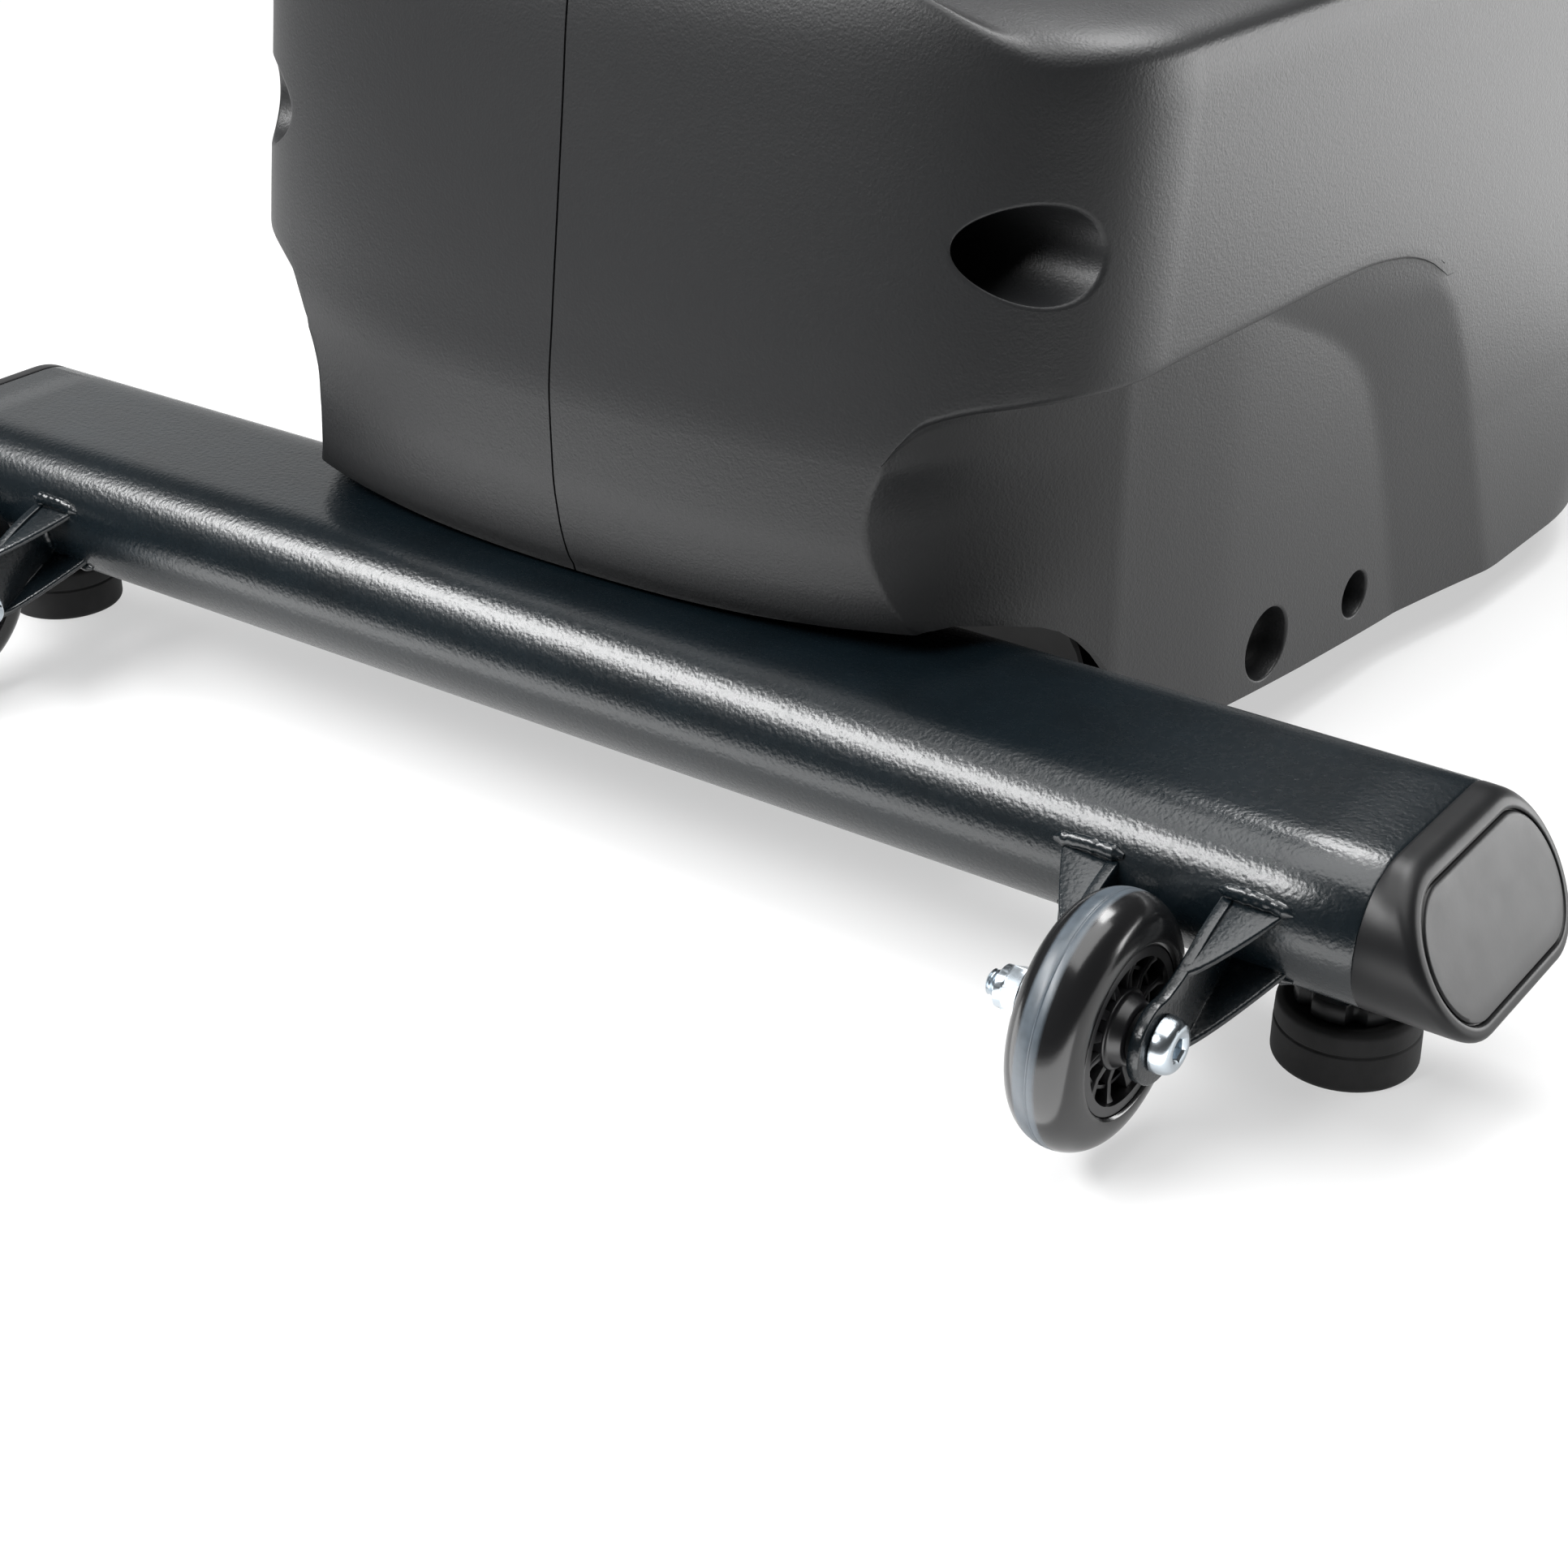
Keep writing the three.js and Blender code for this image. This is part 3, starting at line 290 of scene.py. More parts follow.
LOOK = {
    "powder_coat": powder_coat(),
    "casing": grained_plastic("casing_plastic", (0.0080, 0.0084, 0.0091), 1200, 0.00012, 0.46, 0.40),
    "liner": smooth_plastic("liner_plastic", (0.006, 0.006, 0.0062), 0.7),
    "cap": smooth_plastic("cap_plastic", (0.005, 0.0052, 0.0057), 0.38, 0.24),
    "cap_face": grained_plastic("cap_face_plastic", (0.0115, 0.0118, 0.0125), 1500, 0.00008, 0.58, 0.14),
    "hub": smooth_plastic("hub_plastic", (0.008, 0.008, 0.009), 0.32),
    "tyre": cast_polyurethane(),
    "zinc_steel": metal("zinc_steel", (0.56, 0.62, 0.67), 0.22, scale=140),
    "alloy": metal("brushed_alloy", (0.50, 0.51, 0.53), 0.34, (60, 1.2, 60), 12),
    "cast_iron": metal("turned_iron", (0.16, 0.16, 0.165), 0.42, (1, 1, 1), 220),
    "rubber": rubber("foot_rubber", (0.0055, 0.0055, 0.0058)),
    "foam": foam(),
    "vinyl": vinyl("seat_vinyl", (0.018, 0.0185, 0.020)),
    "vinyl_panel": vinyl("seat_panel_vinyl", (0.050, 0.052, 0.056), 0.52),
    "thread": thread(),
    "glass": display_glass(),
    "segment": display_segment(),
    "weld": powder_coat(),
}
SLOT_OF_LOOK = {"cap_face": "cap", "vinyl_panel": "vinyl", "thread": "vinyl", "segment": "glass",
                "weld": "powder_coat", "liner": "casing"}


# ---------- mesh helpers ----------
def linked(name, data):
    """A new object in the scene."""
    made = bpy.data.objects.new(name, data)
    bpy.context.scene.collection.objects.link(made)
    return made


def smoothed(made, angle):
    """Shades a piece smooth, except at edges sharper than angle degrees."""
    made.data.shade_smooth()
    made.data.set_sharp_from_angle(angle=math.radians(angle))


def piece(name, bm, look, body, replaces=(), smooth=38, extra_looks=()):
    """Turns a bmesh in the frame's metres into a piece that rides on body and stands for CAD nodes."""
    mesh = bpy.data.meshes.new(name)
    bmesh.ops.recalc_face_normals(bm, faces=bm.faces)
    bm.to_mesh(mesh)
    bm.free()
    return settle(linked(name, mesh), look, body, replaces, smooth, extra_looks)


def settle(made, look, body, replaces=(), smooth=38, extra_looks=()):
    """Gives an object its looks and shading, and makes it ride on body and stand for CAD nodes."""
    made.data.materials.clear()
    for key in (look, *extra_looks):
        made.data.materials.append(LOOK[key])
    if smooth:
        smoothed(made, smooth)
    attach(made, body)
    if replaces:
        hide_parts(*replaces)
    SLOT_OF_LOOK.get(look, look)
    return made


def grid(bm, rows, close_u=False, close_v=False):
    """Skins rows of points, each row the same length, with quads. close_u closes each row on itself."""
    made = [[bm.verts.new(p) for p in row] for row in rows]
    if close_v:
        made.append(made[0])
    for low, high in zip(made, made[1:]):
        pairs = list(zip(low, high))
        if close_u:
            pairs.append(pairs[0])
        for (a, d), (b, c) in zip(pairs, pairs[1:]):
            corners = []
            for v in (a, b, c, d):
                if v not in corners:
                    corners.append(v)
            if len(corners) > 2:
                bm.faces.new(corners)
    return made


def close_ends(bm, rows):
    """Closes a skin's first and last row with a face each."""
    bm.faces.new(rows[0])
    bm.faces.new(rows[-1])


def lathe(profile, origin, axis="X", sides=64, closed=False, bm=None):
    """Turns (radius, distance along the axis) points in millimetres about an axis through origin."""
    bm = bm or bmesh.new()
    rows = []
    for radius, along in profile:
        row = []
        for i in range(sides):
            a = 2 * math.pi * i / sides
            u, v = radius * math.cos(a), radius * math.sin(a)
            shift = {"X": (along, u, v), "Y": (u, along, v), "Z": (u, v, along)}[axis]
            row.append(at(*(origin + Vector(shift))))
        rows.append(row)
    made = grid(bm, rows, close_u=True, close_v=closed)
    if not closed:
        close_ends(bm, made)
    return bm


def rounded_profile(points, radius, steps=4):
    """Rounds each corner of an open profile of (a, b) points, as far as its neighbours leave room."""
    out = [points[0]]
    for before, corner, after in zip(points, points[1:], points[2:]):
        p, q, r = Vector(before), Vector(corner), Vector(after)
        reach = min(radius, (p - q).length * 0.45, (r - q).length * 0.45)
        a, b = q + (p - q).normalized() * reach, q + (r - q).normalized() * reach
        for i in range(steps + 1):
            t = i / steps
            out.append(tuple(a * (1 - t) ** 2 + q * 2 * t * (1 - t) + b * t * t))
    out.append(points[-1])
    return out


def oval_ring(y, z, half_width, radius, inset=0.0, arc=20, flat=10):
    """Points (y, z) round an oval with straight long sides, anticlockwise."""
    r = radius - inset
    straight = half_width - radius
    ring = []
    for side, start in ((1, -90), (-1, 90)):
        for i in range(arc + 1):
            a = math.radians(start + 180 * i / arc)
            ring.append((y + side * straight + r * math.cos(a), z + r * math.sin(a)))
        for i in range(1, flat):
            t = i / flat
            ring.append((y + side * straight * (1 - 2 * t), z + side * r))
    return ring


def smooth_line(points, steps=14):
    """The smooth curve through points, with that many steps from each to the next."""
    points = [Vector(p) for p in points]
    line = []
    for i in range(len(points) - 1):
        p0, p1 = points[max(i - 1, 0)], points[i]
        p2, p3 = points[i + 1], points[min(i + 2, len(points) - 1)]
        for k in range(steps):
            t = k / steps
            line.append(0.5 * (2 * p1 + (p2 - p0) * t + (2 * p0 - 5 * p1 + 4 * p2 - p3) * t * t
                               + (3 * p1 - p0 - 3 * p2 + p3) * t ** 3))
    line.append(points[-1])
    return line


def sweep(points, radius, sides=20, steps=14, bm=None):
    """A round bar along the smooth curve through points. radius is a number or a function of the share along."""
    bm = bm or bmesh.new()
    line = smooth_line(points, steps)
    rows = []
    normal = None
    for i, p in enumerate(line):
        along = (line[min(i + 1, len(line) - 1)] - line[max(i - 1, 0)]).normalized()
        if normal is None:
            normal = along.orthogonal().normalized()
        normal = (normal - along * normal.dot(along)).normalized()
        across = along.cross(normal)
        size = radius(i / (len(line) - 1)) if callable(radius) else radius
        rows.append([at(*(p + normal * (size * math.cos(a)) + across * (size * math.sin(a))))
                     for a in (2 * math.pi * k / sides for k in range(sides))])
    made = grid(bm, rows, close_u=True)
    close_ends(bm, made)
    return bm


def plate(bm, outline, x0, x1):
    """A plate in the Y-Z plane, from x0 to x1, with (y, z) outline points."""
    rows = [[at(x, y, z) for y, z in outline] for x in (x0, x1)]
    made = grid(bm, rows, close_u=True)
    close_ends(bm, made)
    return bm


def bevelled(made, width, segments=3, angle=35):
    """Rounds the edges of a finished piece by width millimetres and applies it."""
    modifier = made.modifiers.new("bevel", "BEVEL")
    modifier.width, modifier.segments = width * MM, segments
    modifier.limit_method, modifier.angle_limit = "ANGLE", math.radians(angle)
    return applied(made)


def applied(made):
    """Bakes the piece's modifiers into its mesh."""
    graph = bpy.context.evaluated_depsgraph_get()
    mesh = bpy.data.meshes.new_from_object(made.evaluated_get(graph))
    made.modifiers.clear()
    made.data = mesh
    return made


def refined(node, look, bevel=0.8, smooth=38, angle=30):
    """A CAD node's own shape with its facets merged and its edges rounded."""
    source = frame["nodes"][node]
    bm = bmesh.new()
    bm.from_mesh(source.data)
    bmesh.ops.remove_doubles(bm, verts=bm.verts, dist=MERGE)
    bmesh.ops.dissolve_limit(bm, angle_limit=math.radians(1.0), verts=bm.verts, edges=bm.edges)
    made = piece(node + "_body", bm, look, source["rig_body"], [node], smooth)
    if bevel:
        smoothed(bevelled(made, bevel, 3, angle), smooth)
    return made


# ---------- stabilizers, end caps and feet ----------
def tube_rings(y, inset, spans):
    """Oval rings along X; spans is a list of (x, inset beyond the given one)."""
    return [[at(x, py, pz) for py, pz in oval_ring(y, TUBE_Z, TUBE_HALF_Y, TUBE_RADIUS, inset + more)]
            for x, more in spans]


def stabilizer(node, y, half):
    """Hollow oval tube with slightly rounded cut edges."""
    bm = bmesh.new()
    wall = 2.5
    steps = [i / 24 for i in range(25)]
    outside = [(-half + 0.8 + (2 * half - 1.6) * t, 0.0) for t in steps]
    spans = [(-half, 0.6), *outside, (half, 0.6), (half, wall)]
    back = [(half - 3, wall), (-half + 3, wall), (-half, wall)]
    grid(bm, tube_rings(y, 0.0, spans + back), close_u=True, close_v=True)
    piece(node + "_tube", bm, "powder_coat", "frame", [node], smooth=50)


def end_cap(stem, word, side, y, half):
    """Moulded cap: rounded rim round a panel that a thin groove sets apart. Its face slants outwards
    towards the floor."""
    def face(z, back):
        return half + CAP_TOP + CAP_SLOPE * (TUBE_Z + TUBE_RADIUS - z) - back

    rim = 11.0  # how far the panel's edge stands in from the tube's outline

    def ring(inset, x_of):
        out = []
        for py, pz in oval_ring(y, TUBE_Z, TUBE_HALF_Y, TUBE_RADIUS, 0.0, 28, 14):
            # The panel is a rounder-cornered oval than the tube, so insets move points towards the axis.
            dy, dz = py - y, pz - TUBE_Z
            straight = TUBE_HALF_Y - TUBE_RADIUS
            cy = max(-straight, min(straight, dy))
            reach = math.hypot(dy - cy, dz)
            keep = (reach - inset) / reach
            qy, qz = y + cy + (dy - cy) * keep, TUBE_Z + dz * keep
            out.append(at(side * x_of(qz, pz), qy, qz))
        return out

    bm = bmesh.new()
    skin = [(2.9, lambda z, _: half - 9), (2.9, lambda z, _: half + 0.1), (0.15, lambda z, _: half + 0.25)]
    skin += [(0.0, lambda z, _: half + 0.7), (0.0, lambda z, p: face(p, 7.5)), (0.1, lambda z, p: face(p, 5.0))]
    for i in range(1, 9):
        a = math.pi / 2 * i / 8
        skin.append((0.1 + 5.2 * (1 - math.cos(a)) * 0.62,
                     lambda z, p, a=a: face(z, 0.35 + 4.6 * (1 - math.sin(a)))))
    skin += [(4.1, lambda z, _: face(z, 0.15)), (5.0, lambda z, _: face(z, 0.12))]
    rows = [ring(inset, x_of) for inset, x_of in skin]
    # The groove round the panel.
    for inset, back in ((5.35, 0.4), (5.45, 1.5), (6.05, 1.5), (6.15, 0.45), (6.5, 0.1), (7.4, 0.0)):
        rows.append(ring(inset, lambda z, _, back=back: face(z, back)))
    rows += [ring(inset, lambda z, _: face(z, 0.0)) for inset in (rim, 16.0, 21.0, 24.6)]
    made = grid(bm, rows, close_u=True)
    close_ends(bm, made)
    panel_rows = 8  # the panel takes its own look from inside the groove on
    top = {v for row in made[-panel_rows:] for v in row}
    for f in bm.faces:
        if all(v in top for v in f.verts):
            f.material_index = 1
    piece(f"{stem}_{word}_cover", bm, "cap", "frame", [f"{stem}_{word}"], 45, ["cap_face"])


def levelling_foot(node, body, x, y):
    """Rubber pad with a step in its side, a notched collar and a threaded stud."""
    foot = Vector((x, y, 0))
    profile = rounded_profile([(0, 0.0), (22.4, 0.0), (23.4, 1.4), (23.3, 12.4), (22.6, 12.9), (22.7, 13.4),
                               (23.2, 13.8), (22.9, 19.6), (20.5, 21.2), (17.5, 20.4), (0, 20.2)], 0.9, 3)
    piece(node + "_pad", lathe(profile, foot, "Z", 72), "rubber", body, [node], 50)
    collar = bmesh.new()
    rows = []
    sides = 96
    for radius, height in ((5.2, 20.0), (17.0, 20.3), (17.6, 21.4), (17.6, 26.2), (16.6, 27.4), (7.5, 27.8),
                           (5.2, 27.6)):
        row = []
        for i in range(sides):
            a = 2 * math.pi * i / sides
            r = radius
            if radius > 10:
                r -= 3.2 * max(0.0, math.cos(6 * a) - 0.45) / 0.55  # six finger notches
            row.append(at(x + r * math.cos(a), y + r * math.sin(a), height))
        rows.append(row)
    grid(collar, rows, close_u=True, close_v=True)
    piece(node + "_collar", collar, "cap", body, (), 40)
    stud = [(0.0, 20.5)]
    z = 20.6
    while z < 60:
        stud += [(4.1, z), (4.9, z + 0.5)]
        z += 1.0
    stud += [(0.0, z)]
    piece(node + "_stud", lathe(stud, foot, "Z", 24), "zinc_steel", body, (), 30)


def stabilizers():
    stabilizer("front_stabilizer", 0.0, FRONT_HALF)
    stabilizer("rear_stabilizer", REAR_Y, REAR_HALF)
    for word, side in SIDES:
        end_cap("front_end_cap", word, side, 0.0, FRONT_HALF)
        end_cap("rear_end_cap", word, side, REAR_Y, REAR_HALF)
        levelling_foot(f"levelling_foot_front_{word}", f"foot_front_{word}", side * FOOT.x, FOOT.y)
        levelling_foot(f"levelling_foot_rear_{word}", f"foot_rear_{word}", side * REAR_FOOT.x, REAR_FOOT.y)


# ---------- transport wheels ----------
HUB_RADIUS = 26.3
RIM_INNER = 22.9
BOSS_RADIUS = 12.5
HALF_TREAD = 12.0


def tyre(word, side):
    """Inline-skate type tyre: a fat round tread with a moulding line round its middle."""
    steps, bulge = 40, 12.6
    profile = []
    for i in range(steps + 1):
        a = -math.pi / 2 + math.pi * i / steps
        radius = WHEEL_RADIUS - bulge + bulge * max(0.0, math.cos(a)) ** 0.86
        profile.append((min(radius, WHEEL_RADIUS), HALF_TREAD * math.sin(a)))
    middle = steps // 2
    ridge_r = profile[middle][0]
    profile.insert(middle + 1, (ridge_r - 0.16, 0.35))
    profile.insert(middle, (ridge_r - 0.16, -0.35))
    bead = HUB_RADIUS + 0.15
    profile += [(bead + 0.7, HALF_TREAD - 0.1), (bead, HALF_TREAD - 0.8), (bead, -HALF_TREAD + 0.8),
                (bead + 0.7, -HALF_TREAD + 0.1)]
    origin = Vector((side * WHEEL.x, WHEEL.y, WHEEL.z))
    piece(f"wheel_tyre_{word}_cast", lathe(profile, origin, "X", 128, closed=True), "tyre", f"wheel_{word}",
          [f"wheel_tyre_{word}"], 30)


def hub(word, side):
    """Moulded hub: a flat outer ring, twelve windows between spokes and a raised boss."""
    origin = Vector((side * WHEEL.x, WHEEL.y, WHEEL.z))
    bm = bmesh.new()
    face = HALF_TREAD - 0.9
    ring = rounded_profile([(RIM_INNER, -face), (HUB_RADIUS, -face), (HUB_RADIUS, face), (RIM_INNER, face)], 0.6)
    lathe(ring, origin, "X", 96, True, bm)
    boss = rounded_profile([(4.6, -13.6), (BOSS_RADIUS - 3, -13.6), (BOSS_RADIUS - 1.2, -9.6), (BOSS_RADIUS, -9.2),
                            (BOSS_RADIUS, 9.2), (BOSS_RADIUS - 1.2, 9.6), (BOSS_RADIUS - 3, 13.6), (4.6, 13.6)], 0.8)
    lathe(boss, origin, "X", 64, True, bm)
    lathe([(BOSS_RADIUS - 0.5, -1.2), (RIM_INNER + 0.5, -1.2), (RIM_INNER + 0.5, 1.2), (BOSS_RADIUS - 0.5, 1.2)],
          origin, "X", 64, True, bm)
    step_ring = rounded_profile([(17.6, -7.2), (18.9, -7.2), (18.9, 7.2), (17.6, 7.2)], 0.4)
    lathe(step_ring, origin, "X", 72, True, bm)
    spokes = 12
    for k in range(spokes):
        a = 2 * math.pi * (k + 0.5) / spokes
        out, along = Vector((0, math.cos(a), math.sin(a))), Vector((0, -math.sin(a), math.cos(a)))
        rows = []
        for r, half_w, half_x in ((BOSS_RADIUS - 1, 1.5, 8.6), (16.5, 1.15, 7.9), (RIM_INNER - 2.0, 1.2, 8.6),
                                  (RIM_INNER + 0.6, 2.2, 9.6)):
            mid = origin + out * r
            row = []
            for u, v in rounded_profile([(half_w, -half_x * 0.2), (half_w, half_x), (-half_w, half_x),
                                         (-half_w, -half_x), (half_w, -half_x), (half_w, -half_x * 0.2)], 0.45, 2):
                row.append(at(*(mid + along * u + Vector((v, 0, 0)))))
            rows.append(row[:-1])
        made = grid(bm, rows, close_u=True)
        close_ends(bm, made)
    piece(f"wheel_hub_{word}_moulding", bm, "hub", f"wheel_{word}", [f"wheel_hub_{word}"], 35)


BRACKET_GAP, BRACKET_PLATE = 17.0, 4.0


def bracket(word, side, towards, label):
    """A folded steel ear: a web beside the wheel whose top and bottom edges turn outwards into flanges
    that taper away towards the axle, welded to the tube."""
    x_in = WHEEL.x + towards * BRACKET_GAP
    x_out = x_in + towards * BRACKET_PLATE
    reach = x_in + towards * 22.0
    root_y = -TUBE_HALF_Y + 2.5
    top_root, low_root = TUBE_Z + 8.0, TUBE_Z - 15.5
    eye = 13.2
    wy, wz = WHEEL.y, WHEEL.z
    # Top and bottom edge of the web, from the tube to the eye.
    top = [(root_y, top_root), (root_y - 12, top_root - 4.4), (wy + 13, wz + eye + 2.5), (wy + 4, wz + eye)]
    low = [(wy + 2, wz - eye), (wy + 14, wz - eye + 3.0), (root_y - 8, low_root - 2.0), (root_y, low_root)]
    arc = []
    for i in range(25):
        a = math.radians(82 + (268 - 82) * i / 24)
        arc.append((wy + eye * math.cos(a), wz + eye * math.sin(a)))
    web = bmesh.new()
    outline = rounded_profile(top, 5, 4) + arc + rounded_profile(low, 5, 4)
    a, b = sorted((side * x_in, side * x_out))
    plate(web, outline, a, b)
    suffix = f"wheel_bracket_{word}_{label}"
    made = piece(suffix + "_ear", web, "powder_coat", "frame", [suffix], 40)
    smoothed(bevelled(made, 0.7, 3, 50), 50)

    def flange(name, near, far, up):
        """A tapering strip bent off the web's edge: near is its root on the tube, far where it fades."""
        bm = bmesh.new()
        rows = []
        steps = 18
        for i in range(steps + 1):
            t = i / steps
            y = near[0] + (far[0] - near[0]) * t
            z = near[1] + (far[1] - near[1]) * t
            grow = (1 - t) ** 0.8
            wide = BRACKET_PLATE * 0.9 + (abs(reach - x_in) - BRACKET_PLATE * 0.9) * grow
            thick = BRACKET_PLATE * 0.62
            bend = 3.0 * min(1.0, grow * 2.5)
            # Section from the web's inner side out along the flange's upper side and back below it.
            section = rounded_profile([(0.2, -thick * 1.6), (0.0, -bend * 0.2 + thick * 0.1), (0.0, thick),
                                       (wide, thick + up * 1.2 * grow), (wide, up * 1.2 * grow),
                                       (BRACKET_PLATE * 0.8, 0.0), (BRACKET_PLATE * 0.8, -thick * 1.6)], 1.3, 3)
            flip = 1 if up > 0 else -1
            rows.append([at(side * (x_in + towards * u), y, z + flip * v) for u, v in section])
        made_rows = grid(bm, rows, close_u=True)
        close_ends(bm, made_rows)
        piece(f"{suffix}_{name}", bm, "powder_coat", "frame", (), 40)

    flange("top_flange", (root_y + 3.0, top_root - 2.4), (wy + 14, wz + eye + 0.8), 1)
    flange("low_flange", (root_y + 3.0, low_root + 2.4), (wy + 14, wz - eye + 4.6), -1)
    welds(suffix, side, x_in, x_out, reach, towards, top_root, low_root)


def tube_front_y(z):
    """Y of the front tube's rounded front at height z."""
    dz = max(-TUBE_RADIUS, min(TUBE_RADIUS, z - TUBE_Z))
    return -(TUBE_HALF_Y - TUBE_RADIUS) - math.sqrt(TUBE_RADIUS ** 2 - dz ** 2)


def weld_bead(name, path, radius, seed):
    """A lumpy bead: overlapping ripples along a path of points on the tube."""
    bm = bmesh.new()
    points = [Vector(p) for p in path]
    lengths = [(b - a).length for a, b in zip(points, points[1:])]
    total = sum(lengths)
    rows = []
    count = max(14, int(total / 0.45))
    for i in range(count + 1):
        s = total * i / count
        k = 0
        while k < len(lengths) - 1 and s > lengths[k]:
            s -= lengths[k]
            k += 1
        p = points[k].lerp(points[k + 1], min(1.0, s / lengths[k]))
        along = (points[k + 1] - points[k]).normalized()
        normal = Vector((0, -1, 0.25)).normalized()
        normal = (normal - along * normal.dot(along)).normalized()
        across = along.cross(normal)
        t = i / count
        ripple = 1.0 + 0.04 * math.sin(2 * math.pi * total * t / 3.4 + seed)
        lump = 1.0 + 0.22 * noise.noise(p * 0.23 + Vector((seed, 0, 0)))
        end = min(1.0, 5 * t + 0.35, 5 * (1 - t) + 0.35)
        size = radius * ripple * lump * end
        row = []
        for j in range(14):
            a = 2 * math.pi * j / 14
            wobble = 1 + 0.05 * noise.noise(p * 0.8 + Vector((a, seed, 0)))
            row.append(at(*(p + normal * (size * 0.8 * math.cos(a) * wobble) + across * (size * 1.15 * math.sin(a)))))
        rows.append(row)
    made = grid(bm, rows, close_u=True)
    close_ends(bm, made)
    return piece(name, bm, "weld", "frame", (), 60)


def welds(suffix, side, x_in, x_out, reach, towards, top_root, low_root):
    """Beads along the flanges and down the web where they meet the tube."""
    top_z, low_z = top_root + 0.4, low_root - 0.4
    wide = [side * (x_in - towards * 1.0 + (reach - x_in + towards * 2.0) * t) for t in (0, 0.25, 0.5, 0.75, 1)]
    seed = 3.1 * side + 1.7 * towards
    arch = [0.4, 0.1, 0.0, 0.5, 1.6]
    top = [(x, tube_front_y(top_z + 1.2) - 0.4 + drop * 0.2, top_z + 1.4 - drop) for x, drop in zip(wide, arch)]
    weld_bead(suffix + "_top_weld", top, 2.1, seed)
    low = [(x, tube_front_y(low_z - 1) - 0.6, low_z - 0.6) for x in wide]
    weld_bead(suffix + "_low_weld", low, 1.7, seed + 2)
    x = side * (x_out + towards * 0.6)
    down = [(x, tube_front_y(z) - 0.6, z) for z in (top_root - 4, TUBE_Z + 2, TUBE_Z - 5, low_root + 4)]
    weld_bead(suffix + "_web_weld", down, 1.5, seed + 4)


def hexagon_reach(radius, a):
    """How far a hexagon whose corners lie at radius reaches at angle a."""
    folded = (a + math.pi / 6) % (math.pi / 3) - math.pi / 6
    return radius * math.cos(math.pi / 6) / math.cos(folded)


def hex_ring(radius, corner, along, origin):
    """A ring between a circle (corner 0) and a hexagon (corner 1) whose corners lie at radius."""
    row = []
    sides = 48
    for i in range(sides):
        a = 2 * math.pi * i / sides
        r = radius * (1 - corner) + hexagon_reach(radius, a) * corner
        row.append(at(*(origin + Vector((along, r * math.cos(a), r * math.sin(a))))))
    return row


def bolt_and_nut(word, side):
    """Button-head bolt with a hex socket, a washer under its head, and a nylon-insert nut beyond."""
    origin = Vector((side * WHEEL.x, WHEEL.y, WHEEL.z))
    seat = BRACKET_GAP + BRACKET_PLATE + 0.15
    bm = bmesh.new()
    rows = [hex_ring(2.0, 0, side * seat, origin), hex_ring(8.3, 0, side * seat, origin)]
    dome = 9
    for i in range(dome + 1):
        a = math.pi / 2 * i / dome
        r = 5.3 + 3.6 * math.cos(a) ** 0.8
        rows.append(hex_ring(r, 0, side * (seat + 0.5 + 5.7 * math.sin(a) ** 0.85), origin))
    top = seat + 6.2
    for r, corner, x in ((4.3, 0.0, top - 0.05), (3.9, 0.9, top - 0.5), (3.5, 1.0, top - 1.0), (3.4, 1.0, top - 3.6),
                         (1.2, 0.2, top - 4.4)):
        rows.append(hex_ring(r, corner, side * x, origin))
    made = grid(bm, rows, close_u=True)
    close_ends(bm, made)
    piece(f"axle_bolt_{word}_head", bm, "zinc_steel", "frame", [f"axle_bolt_{word}"], 32)
    shank = [(0.0, seat), (4.0, seat - 0.4)]
    thread_from = -(BRACKET_GAP + BRACKET_PLATE)
    shank.append((4.0, thread_from + 1))
    x = thread_from
    while x > -35.5:
        shank += [(3.5, x), (4.05, x - 0.6)]
        x -= 1.25
    shank += [(3.2, x), (0.0, x - 0.2)]
    piece(f"axle_bolt_{word}_shank", lathe([(r, side * p) for r, p in shank], origin, "X", 32), "zinc_steel",
          "frame", (), 30)
    nut = bmesh.new()
    base = thread_from - 0.2
    rows = []
    for r, corner, x in ((4.3, 0, base), (8.6, 0, base), (9.0, 0, base - 0.5), (8.9, 0, base - 1.2),
                         (8.0, 0.6, base - 1.6), (8.3, 1, base - 2.4), (8.3, 1, base - 6.8),
                         (7.4, 0.4, base - 7.6), (6.9, 0, base - 8.0), (6.8, 0, base - 10.2),
                         (6.0, 0, base - 10.8), (4.4, 0, base - 10.6), (4.3, 0, base - 4)):
        rows.append(hex_ring(r, corner, side * x, origin))
    grid(nut, rows, close_u=True, close_v=True)
    piece(f"lock_nut_{word}_body", nut, "zinc_steel", "frame", [f"lock_nut_{word}"], 32)
    spacer = rounded_profile([(4.7, 13.9), (8.2, 13.9), (8.2, 16.8), (4.7, 16.8)], 0.3, 2)
    for label, flip in (("outer", 1), ("inner", -1)):
        piece(f"axle_spacer_{word}_{label}", lathe([(r, flip * side * p) for r, p in spacer], origin, "X", 40, True),
              "cap", "frame", (), 40)


def wheels():
    for word, side in SIDES:
        tyre(word, side)
        hub(word, side)
        bracket(word, side, 1, "outer")
        bracket(word, side, -1, "inner")
        bolt_and_nut(word, side)


